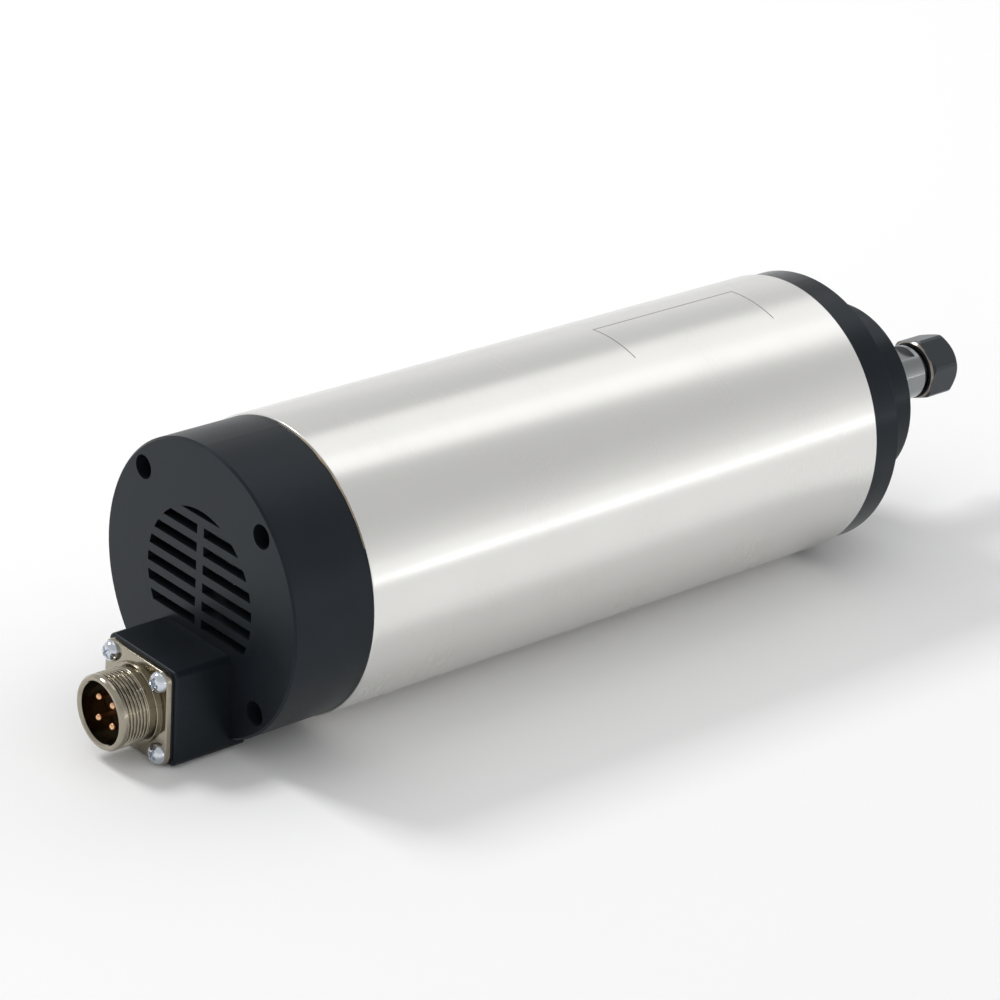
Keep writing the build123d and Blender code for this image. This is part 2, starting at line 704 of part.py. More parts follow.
with BuildPart() as fan:
    ring_part(fan_plate_rear_x, fan_plate_front_x, fan_seat_radius + seat_gap, fan_radius)
    ring_part(fan_hub_rear_x, fan_hub_front_x, fan_seat_radius + seat_gap, fan_hub_radius)
    with BuildSketch(Plane.YZ.offset(fan_plate_rear_x - fan_blade_depth)) as blades:
        for turn in range(fan_blade_count):
            with BuildSketch(mode=Mode.PRIVATE) as blade:
                with Locations((fan_blade_root, -fan_blade_arc_radius)):
                    Circle(fan_blade_arc_radius)
                    Circle(fan_blade_arc_radius - fan_blade_thickness, mode=Mode.SUBTRACT)
                with Locations((fan_radius / 2, 0)):
                    Rectangle(fan_radius, fan_radius, mode=Mode.INTERSECT)
                Circle(fan_radius, mode=Mode.INTERSECT)
                Circle(fan_blade_root, mode=Mode.SUBTRACT)
            add(blade.sketch, rotation=360 * turn / fan_blade_count)
    extrude(blades.sketch, amount=fan_blade_depth)
save(fan, "fan")

with BuildPart() as fan_screw:
    bar(fan_hub_rear_x - fan_screw_head_height, fan_hub_rear_x, fan_screw_head_radius)
    bar(fan_hub_rear_x, fan_hub_rear_x + fan_screw_length - 1, fan_screw_radius)
save(fan_screw, "fan_screw")

# ================= Rear cap with its connector block =================

cap_screw_places = ring_places(cap_screw_circle, boss_rib_count, boss_rib_angle)
connector_place = [(0, block_middle_z)]
plate_screw_places = [
    (side * plate_hole_spacing / 2, block_middle_z + rise * plate_hole_spacing / 2)
    for side in (-1, 1) for rise in (-1, 1)
]
spigot_radius = tube_bore - seat_gap
with BuildPart() as rear_cap:
    with BuildSketch(Plane.YZ.offset(block_rear_x)):
        with Locations(*connector_place):
            RectangleRounded(block_width, block_height, block_corner)
    extrude(amount=block_front_x - block_rear_x)
    fillet(edges().group_by(Axis.X)[0], block_corner / 3)
    turned([
        (cap_rear_x, 0), (cap_rear_x, cap_radius - cap_edge), (cap_rear_x + cap_edge, cap_radius),
        (tube_rear_x, cap_radius), (tube_rear_x, spigot_radius), (bell_rear_x, spigot_radius),
        (bell_rear_x, 0),
    ])
    turned([
        (cap_inner_x, 0), (cap_inner_x, cap_bore), (tube_rear_x - cap_spigot_wall, cap_bore),
        (tube_rear_x, spigot_radius - cap_spigot_wall),
        (bell_rear_x, spigot_radius - cap_spigot_wall), (bell_rear_x, 0),
    ], mode=Mode.SUBTRACT)
    with BuildSketch(Plane.YZ.offset(cap_inner_x)) as bosses:
        with Locations(*cap_screw_places):
            Circle(cap_boss_radius)
        Circle(spigot_radius, mode=Mode.INTERSECT)
    extrude(bosses.sketch, amount=bell_rear_x - cap_inner_x)
    bar(cap_rear_x, cap_screw_seat_x, cap_screw_recess_radius, cap_screw_places, Mode.SUBTRACT)
    bar(cap_screw_seat_x, bell_rear_x, cap_screw_radius + seat_gap, cap_screw_places,
        Mode.SUBTRACT)
    with BuildSketch(Plane.YZ.offset(cap_rear_x)) as grille:
        for row in range(-grille_slots_below, grille_slots_above + 1):
            with Locations((0, grille_rise + row * grille_pitch)):
                Rectangle(2 * grille_radius, grille_slot)
        Circle(grille_radius, mode=Mode.INTERSECT)
        rib_top = grille_rise + (grille_slots_above - 0.5) * grille_pitch
        with Locations((0, rib_top - grille_radius)):
            Rectangle(grille_rib, 2 * grille_radius, mode=Mode.SUBTRACT)
    extrude(grille.sketch, amount=cap_face_wall, mode=Mode.SUBTRACT)
    with BuildSketch(Plane.YZ.offset(block_rear_x + block_wall)) as cable_space:
        with Locations(*connector_place):
            RectangleRounded(block_width - 2 * block_wall, block_height - 2 * block_wall, 1.0)
    extrude(cable_space.sketch, amount=cap_inner_x - block_rear_x - block_wall,
            mode=Mode.SUBTRACT)
    bar(block_rear_x + block_wall / 2, block_rear_x + plate_screw_length, block_boss_radius,
        plate_screw_places)
    bar(block_rear_x, block_rear_x + plate_screw_length, plate_screw_radius + seat_gap,
        plate_screw_places, Mode.SUBTRACT)
    bar(block_rear_x, block_rear_x + block_wall, shell_tail_radius + shell_tail_gap,
        connector_place, Mode.SUBTRACT)
save(rear_cap, "rear_cap")

with BuildPart() as cap_screws:
    cap_screw_end_x = bell_front_x + cap_screw_engagement
    bar(cap_screw_seat_x, cap_screw_end_x, cap_screw_radius, cap_screw_places)
    bar(cap_screw_seat_x - cap_screw_head_height, cap_screw_seat_x, cap_screw_head_radius,
        cap_screw_places)
    hex_sockets(cap_screw_seat_x - cap_screw_head_height, cap_screw_head_height / 2,
                small_socket, cap_screw_places)
save(cap_screws, "cap_screws")

# ================= Connector =================

def plate_outline(x_from, thickness, middle_hole_radius):
    """The square flange outline of the connector with its five holes."""
    with BuildSketch(Plane.YZ.offset(x_from)) as outline:
        with Locations(*connector_place):
            RectangleRounded(plate_size, plate_size, plate_corner)
            Circle(middle_hole_radius, mode=Mode.SUBTRACT)
        with Locations(*plate_screw_places):
            Circle(plate_hole_radius, mode=Mode.SUBTRACT)
    extrude(outline.sketch, amount=thickness)


with BuildPart() as connector_gasket:
    plate_outline(plate_rear_x, gasket_thickness, shell_tail_radius + shell_tail_gap)
save(connector_gasket, "connector_gasket")

with BuildPart() as connector_shell:
    plate_outline(plate_front_x, plate_thickness, shell_bore_radius)
    ring_end_x = plate_front_x - shell_ring_length
    neck_end_x = ring_end_x - shell_neck_length
    turned([
        (shell_front_x, 0), (shell_front_x, shell_radius - shell_rim),
        (shell_front_x + shell_rim, shell_radius), (neck_end_x, shell_radius),
        (neck_end_x, shell_neck_radius), (ring_end_x, shell_neck_radius),
        (ring_end_x, shell_ring_radius), (plate_front_x, shell_ring_radius),
        (plate_front_x, shell_tail_radius), (shell_tail_x, shell_tail_radius), (shell_tail_x, 0),
    ], axis_z=block_middle_z)
    with BuildSketch(Plane.YZ.offset(shell_front_x)) as keyed_bore:
        with Locations(*connector_place):
            Circle(shell_bore_radius)
        with Locations((-shell_bore_radius, block_middle_z)):
            Rectangle(2 * shell_key_height, shell_key_width, mode=Mode.SUBTRACT)
    extrude(keyed_bore.sketch, amount=insulator_front_x - shell_front_x, mode=Mode.SUBTRACT)
    bar(insulator_front_x, shell_tail_x, shell_bore_radius, connector_place, Mode.SUBTRACT)
save(connector_shell, "connector_shell")

pin_places = [(y, block_middle_z + z) for y, z in ring_places(pin_circle, pin_count, 45.0)]
pin_front_x = insulator_front_x - pin_proud
pin_rear_x = pin_front_x + pin_length
with BuildPart() as connector_insulator:
    bar(insulator_front_x, shell_tail_x - 1, shell_bore_radius - seat_gap, connector_place)
    bar(insulator_front_x, shell_tail_x - 1, pin_radius + seat_gap / 2, pin_places, Mode.SUBTRACT)
save(connector_insulator, "connector_insulator")

with BuildPart() as connector_pins:
    bar(pin_front_x, pin_rear_x, pin_radius, pin_places)
    chamfer(edges().group_by(Axis.X)[0], pin_radius / 2)
    bar(pin_rear_x - cup_depth, pin_rear_x, lead_radius + seat_gap, pin_places, Mode.SUBTRACT)
save(connector_pins, "connector_pins")

with BuildPart() as connector_screws:
    bar(plate_front_x, plate_front_x + plate_screw_length, plate_screw_radius, plate_screw_places)
    bar(plate_front_x - plate_screw_head_height, plate_front_x, plate_screw_head_radius,
        plate_screw_places)
    chamfer(edges().group_by(Axis.X)[0], plate_screw_head_height / 2)
save(connector_screws, "connector_screws")

# ================= Leads from the connector to the winding =================

lead_tip_z = -(coil_inner + coil_outer) / 2
lead_start_x = pin_rear_x - cup_depth / 2
lead_drop_x = pin_rear_x + cup_depth
lead_low_x = cap_inner_x - cap_face_wall / 2
lead_rise_x = fan_plate_front_x
lead_window_x = bell_rear_x - bell_thickness / 2
lead_end_x = core_rear_x - end_turn_length
lead_level_x = (bell_front_x + lead_end_x) / 2
with BuildPart() as motor_leads:
    for order, (y, z) in enumerate((pin_places[2], pin_places[1], pin_places[3])):
        lane_y = (order - (lead_count - 1) / 2) * lead_spacing
        with BuildLine() as route:
            FilletPolyline(
                (lead_start_x, y, z), (lead_drop_x, y, z),
                (lead_low_x, lane_y, -lead_channel_radius),
                (lead_rise_x, lane_y, -lead_channel_radius),
                (lead_window_x, lane_y, -cable_window_radius),
                (lead_level_x, lane_y, lead_tip_z), (lead_end_x, lane_y, lead_tip_z),
                radius=lead_bend)
        with BuildSketch(Plane(origin=(lead_start_x, y, z), z_dir=(1, 0, 0))) as wire:
            Circle(lead_radius)
        sweep(wire.sketch, path=route.line)
save(motor_leads, "motor_leads")

# ================= Collet and nut =================

with BuildPart() as collet:
    collet_face_radius = collet_head_radius - collet_head_length * tan(
        radians(collet_head_half_angle))
    turned([
        (collet_rear_x, collet_bore_radius), (collet_rear_x, collet_radius_at(collet_rear_x)),
        (collet_groove_x, collet_max_radius), (collet_groove_x, collet_groove_radius),
        (collet_head_x, collet_groove_radius), (collet_head_x, collet_head_radius),
        (collet_front_x, collet_face_radius), (collet_front_x, collet_bore_radius),
    ])
    for turn in range(4):
        slit_from = collet_rear_x if turn % 2 else collet_front_x - collet_slit_length
        with BuildSketch(Plane.YZ.offset(slit_from)) as slit:
            Rectangle(2 * collet_max_radius + 1, collet_slit_width, rotation=45 * turn)
        extrude(slit.sketch, amount=collet_slit_length, mode=Mode.SUBTRACT)
save(collet, "collet")

with BuildPart() as collet_nut:
    with BuildSketch(Plane.YZ.offset(nut_rear_x)):
        RegularPolygon(nut_across_flats / 2, 6, major_radius=False, rotation=nut_turn)
    extrude(amount=nut_length)
    chamfer_root = nut_corner_radius - nut_chamfer
    turned([
        (nut_rear_x, 0), (nut_rear_x, chamfer_root), (nut_rear_x + nut_chamfer, nut_corner_radius),
        (nut_front_x - nut_chamfer, nut_corner_radius), (nut_front_x, chamfer_root),
        (nut_front_x, 0),
    ], mode=Mode.INTERSECT)
    lip_from_x = collet_groove_x + lip_gap
    lip_to_x = collet_head_x - lip_gap
    cone_slope = tan(radians(collet_head_half_angle))
    cone_gap = taper_gap / cos(radians(collet_head_half_angle))
    mouth_radius = collet_face_radius + lip_gap
    cone_start_radius = collet_head_radius + cone_gap + (collet_head_x - lip_to_x) * cone_slope
    cone_end_x = lip_to_x + (cone_start_radius - mouth_radius) / cone_slope
    turned([
        (nut_rear_x, 0), (nut_rear_x, shaft_thread_radius + thread_gap),
        (lip_from_x, shaft_thread_radius + thread_gap),
        (lip_from_x, collet_groove_radius + lip_gap / 2),
        (lip_to_x, collet_groove_radius + lip_gap / 2),
        (lip_to_x, cone_start_radius), (cone_end_x, mouth_radius), (nut_front_x, mouth_radius),
        (nut_front_x, 0),
    ], mode=Mode.SUBTRACT)
save(collet_nut, "collet_nut")
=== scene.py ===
"""Finishes and fine detail of an air-cooled motor spindle, laid out as an add-on.

Everything is in metres. The spindle axis is X, pointing from the rear cap to the collet, and +Z
is up.
"""

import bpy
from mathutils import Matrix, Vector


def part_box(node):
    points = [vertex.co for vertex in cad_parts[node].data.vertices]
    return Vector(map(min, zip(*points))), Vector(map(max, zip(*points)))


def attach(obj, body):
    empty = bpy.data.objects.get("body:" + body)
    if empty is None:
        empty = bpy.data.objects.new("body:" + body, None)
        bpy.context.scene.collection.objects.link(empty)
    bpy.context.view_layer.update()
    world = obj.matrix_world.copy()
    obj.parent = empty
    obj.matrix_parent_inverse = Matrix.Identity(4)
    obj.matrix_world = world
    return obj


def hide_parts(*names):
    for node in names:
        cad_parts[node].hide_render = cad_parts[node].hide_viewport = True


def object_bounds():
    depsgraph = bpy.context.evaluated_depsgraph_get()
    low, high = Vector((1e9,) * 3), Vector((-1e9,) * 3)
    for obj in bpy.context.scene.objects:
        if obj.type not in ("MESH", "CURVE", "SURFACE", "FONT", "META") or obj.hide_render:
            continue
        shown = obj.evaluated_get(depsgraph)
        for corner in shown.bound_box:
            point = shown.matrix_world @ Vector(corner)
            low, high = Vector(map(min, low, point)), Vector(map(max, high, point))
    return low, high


bl_info = {
    "name": "Motor spindle finishes",
    "version": (1, 0, 0),
    "blender": (4, 5, 0),
    "location": "3D View > Sidebar > Spindle",
    "description": "Dresses an air-cooled motor spindle with fine parts, finishes and a studio",
    "category": "Object",
}

from math import pi, radians
from typing import NamedTuple

import bmesh
import bpy
import numpy as np
from mathutils import Matrix, Vector

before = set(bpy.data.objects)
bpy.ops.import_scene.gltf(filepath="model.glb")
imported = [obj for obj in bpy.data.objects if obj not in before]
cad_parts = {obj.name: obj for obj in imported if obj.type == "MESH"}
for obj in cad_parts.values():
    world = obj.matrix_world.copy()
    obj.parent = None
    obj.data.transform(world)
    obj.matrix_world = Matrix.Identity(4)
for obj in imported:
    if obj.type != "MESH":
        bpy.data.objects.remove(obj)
CAD_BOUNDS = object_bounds()

ROUND = 192           # steps round a full turn of a large piece
SMALL_ROUND = 96      # steps round a full turn of a small one
CORNER_STEPS = 5      # points on each rounded corner of a profile
CORNER_SHARE = 0.49   # most of an edge that one rounded corner may take
CREASE = radians(32)  # edges that turn more than this stay sharp
SAME_POINT = 1e-7     # points nearer than this are one
OVERLAP = 1e-4        # how far a hidden end runs on into its neighbour

FINE_DETAIL, COARSE_DETAIL = 3.0, 4.0  # octaves of the two noises of the grain
BUMP_DISTANCE = 5e-5                   # height of the bumps at full strength
COAT_ROUGHNESS = 0.12
BRUSH_TURN = 0.25                      # turns from the tangent to the scratches


# ================= Values a user would change =================

def length(name, description, default):
    """A length property in metres."""
    return bpy.props.FloatProperty(name=name, description=description, default=default,
                                   min=0.0, precision=5, subtype="DISTANCE", unit="LENGTH")


def colour(name, description, default):
    """A colour property."""
    return bpy.props.FloatVectorProperty(name=name, description=description, default=default,
                                         size=3, min=0.0, max=1.0, subtype="COLOR")


def brightness(name, description, default):
    """Light given off, where 1 is as bright as a white sheet under plain light."""
    return bpy.props.FloatProperty(name=name, description=description, default=default, min=0.0)


def share(name, description, default):
    """A number from 0 to 1."""
    return bpy.props.FloatProperty(name=name, description=description, default=default,
                                   min=0.0, max=1.0, subtype="FACTOR")


class SpindleSizes(bpy.types.PropertyGroup):
    """Sizes of the fine detail."""

    tube_wall: length("Tube wall", "Thickness of the steel tube", 0.0015)
    tube_rim: length("Tube rim", "Rounding of the two rims of the tube", 0.0003)
    plate_thickness: length("Plate", "Thickness of the square connector plate", 0.0014)
    plate_corner: length("Plate corner", "Corner radius of the plate", 0.0030)
    plate_edge: length("Plate edge", "Rounding of the edge of the plate", 0.00035)
    shell_radius: length("Shell", "Outside radius of the threaded shell", 0.0100)
    shell_bore: length("Shell bore", "Radius of the mouth of the shell", 0.0082)
    shell_rim: length("Shell rim", "Rounding of the front rim of the shell", 0.0009)
    shell_collar: length("Shell collar", "Radius of the collar at the foot of the shell", 0.0108)
    shell_collar_length: length("Collar length", "Length of the collar", 0.0010)
    shell_neck: length("Shell neck", "Radius of the relief behind the thread", 0.0092)
    shell_neck_length: length("Neck length", "Length of the relief", 0.0014)
    thread_pitch: length("Thread pitch", "Pitch of the shell thread", 0.0010)
    thread_depth: length("Thread depth", "Depth of the shell thread", 0.00055)
    key_width: length("Key width", "Width of the key rib in the shell", 0.0016)
    key_height: length("Key height", "Height of the key rib in the shell", 0.0009)
    pin_radius: length("Pin", "Radius of a contact pin", 0.00105)
    pin_reach: length("Pin reach", "How far the domed tips stand past the plain pins", 0.0015)
    head_radius: length("Screw head", "Radius of a pan head", 0.0028)
    head_height: length("Head height", "Height of a pan head", 0.0022)
    recess_length: length("Recess arm", "Reach of the cross recess from its middle", 0.00165)
    recess_width: length("Recess width", "Half the width of an arm of the recess", 0.00036)
    recess_depth: length("Recess depth", "Depth of the cross recess", 0.0012)
    nut_flats: length("Nut flats", "Width of the nut across its flats", 0.0170)
    nut_corner: length("Nut corner", "Radius to which the corners of the nut are turned", 0.0095)
    nut_chamfer: length("Nut chamfer", "Chamfer at both ends of the nut", 0.0012)
    # The bright rim at the back of the nut is partly rubbed wear and partly a painted highlight.
    nut_wear_and_highlight: length("Nut wear", "Width of the bright rim at the back of the nut", 0.00045)
    nut_mouth: length("Nut mouth", "Radius of the mouth of the nut", 0.0046)
    nut_bore: length("Nut bore", "Radius of the threaded end of the nut", 0.00708)
    etched_line: length("Etched line", "Width of the etched lines on the tube", 0.00028)
    glue_radius: length("Glue bead", "Radius of the bead of glue behind the tube", 0.00035)
    nut_turn: bpy.props.FloatProperty(name="Nut turn", default=radians(10.0), subtype="ANGLE",
                                      description="Angle of a flat of the nut at rest")


class SpindleColours(bpy.types.PropertyGroup):
    """Colours and gloss of the finishes."""

    steel: colour("Brushed steel", "Stainless tube", (0.80, 0.795, 0.775))
    steel_gloss: share("Tube roughness", "Roughness of the brushed tube", 0.26)
    anodised: colour("Black anodising", "Front flange and nose cap", (0.0055, 0.0070, 0.0095))
    moulding: colour("Black plastic", "Rear cap and its connector block", (0.0045, 0.0055, 0.0070))
    sheen: colour("Black sheen", "Tint of the gloss of the black parts", (0.74, 0.88, 1.0))
    casting: colour("Cast aluminium", "Stator housing and rear bell", (0.60, 0.61, 0.62))
    lamination: colour("Electrical steel", "Stator and rotor stacks", (0.22, 0.225, 0.24))
    enamel: colour("Enamelled copper", "Stator winding", (0.42, 0.13, 0.045))
    paper: colour("Slot paper", "Slot wedges", (0.62, 0.52, 0.34))
    ground: colour("Ground steel", "Shaft and labyrinth ring", (0.25, 0.26, 0.265))
    bearing: colour("Bearing steel", "Bearing rings and balls", (0.66, 0.66, 0.67))
    resin: colour("Cage resin", "Bearing cages", (0.36, 0.20, 0.07))
    brass: colour("Brass", "Balance rings", (0.66, 0.46, 0.17))
    spring: colour("Spring steel", "Preload spring and retaining rings", (0.12, 0.12, 0.13))
    oxide: colour("Black oxide", "Collet nut, lock nut and socket screws", (0.030, 0.036, 0.042))
    # Lighter metal of the rear rim of the nut: partly rubbed wear, partly a painted highlight.
    worn: colour("Worn oxide with painted highlight", "Rear rim of the nut, rubbed bright, with a painted highlight", (0.34, 0.30, 0.26))
    fan: colour("Fan plastic", "Cooling fan", (0.020, 0.021, 0.023))
    zinc: colour("Bright zinc", "Connector screws", (0.62, 0.66, 0.72))
    nickel: colour("Nickel", "Connector shell and plate", (0.44, 0.40, 0.32))
    insulator: colour("Insulator", "Connector insulator", (0.085, 0.066, 0.046))
    copper: colour("Pins", "Contact pins", (0.80, 0.47, 0.27))
    rubber: colour("Rubber", "Connector gasket", (0.010, 0.010, 0.010))
    lead: colour("Lead insulation", "Motor leads", (0.030, 0.030, 0.034))
    etching: colour("Etching", "Laser-etched lines", (0.19, 0.18, 0.165))
    glue: colour("Glue", "Dried glue at the rear rim of the tube", (0.42, 0.33, 0.22))


class SpindleStudio(bpy.types.PropertyGroup):
    """Camera, floor and light."""

    camera_place: bpy.props.FloatVectorProperty(
        name="Camera", description="Place of the camera", size=3, subtype="TRANSLATION",
        unit="LENGTH", default=(-0.60952, -0.64883, 0.40789))
    camera_aim: bpy.props.FloatVectorProperty(
        name="Aim", description="Point in the middle of the picture", size=3,
        subtype="TRANSLATION", unit="LENGTH", default=(-0.01406, 0.0, -0.00106))
    camera_roll: bpy.props.FloatProperty(
        name="Roll", description="Turn of the camera about its own line of sight",
        subtype="ANGLE", default=radians(3.973))
    lens: bpy.props.FloatProperty(name="Lens", description="Focal length for a 36 mm sensor",
                                  default=130.204, unit="CAMERA")
    floor: colour("Floor", "Colour of the floor", (0.97, 0.97, 0.97))
    floor_size: length("Floor size", "Side of the square floor", 12.0)
    floor_drop: length("Floor gap", "Gap between the floor and the object", 0.0001)
    wall: brightness("Wall", "Light of the dome just over the horizon", 1.12)
    ceiling: brightness("Ceiling", "Light of the dome overhead", 0.78)
    wall_top: share("Wall top", "Height of a direction at which the wall starts to fade", 0.08)
    ceiling_edge: share("Ceiling edge", "Height of a direction where the ceiling starts", 0.62)
    softbox: brightness("Softbox", "Light of the wide softbox overhead", 0.50)
    softbox_core: brightness("Softbox core", "Light of the narrow softbox overhead", 0.22)
    panel: brightness("Panel", "Light of the low panel beside the spindle", 0.20)
    strip: brightness("Strip light", "Light of the thin strip under the low panel", 7.0)
    key: brightness("Key light", "Light of the key lamp behind the spindle", 18.0)


def sizes():
    """The sizes in use."""
    return bpy.context.scene.spindle_sizes


def colours():
    """The colours in use."""
    return bpy.context.scene.spindle_colours


def studio():
    """The studio values in use."""
    return bpy.context.scene.spindle_studio


# ================= Surfaces =================

def soft_profile(corners, rounding):
    """A closed outline with rounded corners: each corner (N, 2) becomes a short curve from a point
    on the edge before it to one on the edge after it, weighted (1-s)^2, 2s(1-s) and s^2 between
    the start, the corner and the end. Rounding is one radius or one for each corner."""
    corner = np.array(corners, float)
    before, after = np.roll(corner, 1, 0) - corner, np.roll(corner, -1, 0) - corner
    reach_before = np.linalg.norm(before, axis=1)
    reach_after = np.linalg.norm(after, axis=1)
    cut = np.minimum(np.broadcast_to(rounding, reach_before.shape),
                     CORNER_SHARE * np.minimum(reach_before, reach_after))[:, None]
    start = corner + before / reach_before[:, None] * cut
    end = corner + after / reach_after[:, None] * cut
    s = np.linspace(0, 1, CORNER_STEPS)[None, :, None]
    curve = ((1 - s) ** 2 * start[:, None] + 2 * s * (1 - s) * corner[:, None]
             + s ** 2 * end[:, None])
    return curve.reshape(-1, 2)


def smooth_step(low, high, value):
    """0 below low, 1 above high, and 3t^2 - 2t^3 between them."""
    t = np.clip((value - low) / (high - low), 0, 1)
    return t * t * (3 - 2 * t)


def turn_angles(steps):
    """Angles of a full turn, without the last, which is the first again."""
    return np.arange(steps) * (2 * pi / steps)


def lathe(profile, steps, centre=(0.0, 0.0)):
    """Points (steps, N, 3) of a turned surface: at angle a, a profile point (x, r) lies at
    (x, centre y + r cos a, centre z + r sin a)."""
    a = turn_angles(steps)[:, None]
    x, r = profile[None, :, 0], profile[None, :, 1]
    return np.stack([x + 0 * a, centre[0] + r * np.cos(a), centre[1] + r * np.sin(a)], -1)


def rounded_square(half_width, half_height, radius, steps):
    """Outline (steps, 2) of a rounded rectangle: each quarter of a turn is an arc of the given
    radius about its own corner centre, and the straight sides join the arcs."""
    quarter = steps // 4
    a = (np.arange(4)[:, None] + np.linspace(0, 1, quarter)[None, :]) * (pi / 2)
    middle = (np.arange(4)[:, None] + 0.5) * (pi / 2)
    y = np.sign(np.cos(middle)) * (half_width - radius) + radius * np.cos(a)
    z = np.sign(np.sin(middle)) * (half_height - radius) + radius * np.sin(a)
    return np.stack([y, z], -1).reshape(-1, 2)


def new_piece(name, grids, material, body, replaced=(), close_rows=True, close_columns=True,
              second=None, second_on=None):
    """A mesh piece from grids of points (U, V, 3). Each grid is joined to itself along U and V
    where it is closed, doubled points at poles are merged, and faces are turned outwards. Faces
    that start at a point marked in second_on get the second material."""
    vertices, faces = [], []
    first = 0
    for grid in grids:
        rows, columns = grid.shape[:2]
        index = first + np.arange(rows * columns).reshape(rows, columns)
        here = index if close_rows else index[:-1]
        following = np.roll(index, -1, 0) if close_rows else index[1:]
        if close_columns:
            quads = np.stack([here, following, np.roll(following, -1, 1), np.roll(here, -1, 1)], -1)
        else:
            quads = np.stack([here[:, :-1], following[:, :-1], following[:, 1:], here[:, 1:]], -1)
        vertices.append(grid.reshape(-1, 3))
        faces.append(quads.reshape(-1, 4))
        first += rows * columns
    mesh = bpy.data.meshes.new(name)
    mesh.from_pydata(np.concatenate(vertices).tolist(), [], np.concatenate(faces).tolist())
    mesh.materials.append(material)
    if second:
        mesh.materials.append(second)
        marked = second_on.reshape(-1)[np.concatenate(faces)[:, 0]]
        mesh.polygons.foreach_set("material_index", marked.astype(np.int32))
    clean_mesh(mesh)
    piece = bpy.data.objects.new(name, mesh)
    bpy.context.scene.collection.objects.link(piece)
    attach(piece, body)
    if replaced:
        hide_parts(*replaced)
    return piece


def clean_mesh(mesh):
    """Merge doubled points, drop flat faces, turn the faces outwards and shade them smooth up to
    the crease angle."""
    work = bmesh.new()
    work.from_mesh(mesh)
    bmesh.ops.remove_doubles(work, verts=work.verts, dist=SAME_POINT)
    bmesh.ops.dissolve_degenerate(work, edges=work.edges, dist=SAME_POINT)
    bmesh.ops.recalc_face_normals(work, faces=work.faces)
    work.to_mesh(mesh)
    work.free()
    mesh.shade_smooth()
    mesh.set_sharp_from_angle(angle=CREASE)


def middle_of(node):
    """Middle of a CAD node's box."""
    low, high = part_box(node)
    return (low + high) / 2


# ================= Shared effects =================

def grain_group():
    """Fine scatter of gloss: a fine noise on stretched Object coordinates and a coarse one on
    plain ones, added, become a roughness about a middle value. The fine noise is also put out as
    the height of a bump, and the coarse one as soft patches."""
    group = bpy.data.node_groups.get("Surface grain")
    if group:
        return group
    group = bpy.data.node_groups.new("Surface grain", "ShaderNodeTree")
    for name, kind, default in (("Stretch", "NodeSocketVector", (1.0, 1.0, 1.0)),
                                ("Fine scale", "NodeSocketFloat", 2000.0),
                                ("Coarse scale", "NodeSocketFloat", 60.0),
                                ("Roughness", "NodeSocketFloat", 0.3),
                                ("Spread", "NodeSocketFloat", 0.1)):
        socket = group.interface.new_socket(name=name, in_out="INPUT", socket_type=kind)
        socket.default_value = default
    for name in ("Roughness", "Height", "Cloud"):
        group.interface.new_socket(name=name, in_out="OUTPUT", socket_type="NodeSocketFloat")
    nodes, links = group.nodes, group.links
    entry, leave = nodes.new("NodeGroupInput"), nodes.new("NodeGroupOutput")
    place = nodes.new("ShaderNodeTexCoord").outputs["Object"]

    def noise(vector, scale, detail):
        """A noise whose scale is an input of the group; gives its value socket."""
        node = nodes.new("ShaderNodeTexNoise")
        links.new(vector, node.inputs["Vector"])
        links.new(entry.outputs[scale], node.inputs["Scale"])
        node.inputs["Detail"].default_value = detail
        return node.outputs["Fac"]

    def value(operation, *sockets):
        """A Math node fed by the sockets in order; gives the node."""
        node = nodes.new("ShaderNodeMath")
        node.operation = operation
        for source, target in zip(sockets, node.inputs):
            links.new(source, target)
        return node

    stretch = nodes.new("ShaderNodeVectorMath")
    stretch.operation = "MULTIPLY"
    links.new(place, stretch.inputs[0])
    links.new(entry.outputs["Stretch"], stretch.inputs[1])
    fine = noise(stretch.outputs[0], "Fine scale", FINE_DETAIL)
    coarse = noise(place, "Coarse scale", COARSE_DETAIL)
    about = value("SUBTRACT", value("ADD", fine, coarse).outputs[0])
    about.inputs[1].default_value = 1.0  # the middle of the sum of the two noises
    spread = value("MULTIPLY_ADD", about.outputs[0], entry.outputs["Spread"],
                   entry.outputs["Roughness"])
    spread.use_clamp = True
    links.new(spread.outputs[0], leave.inputs["Roughness"])
    links.new(fine, leave.inputs["Height"])
    links.new(coarse, leave.inputs["Cloud"])
    return group


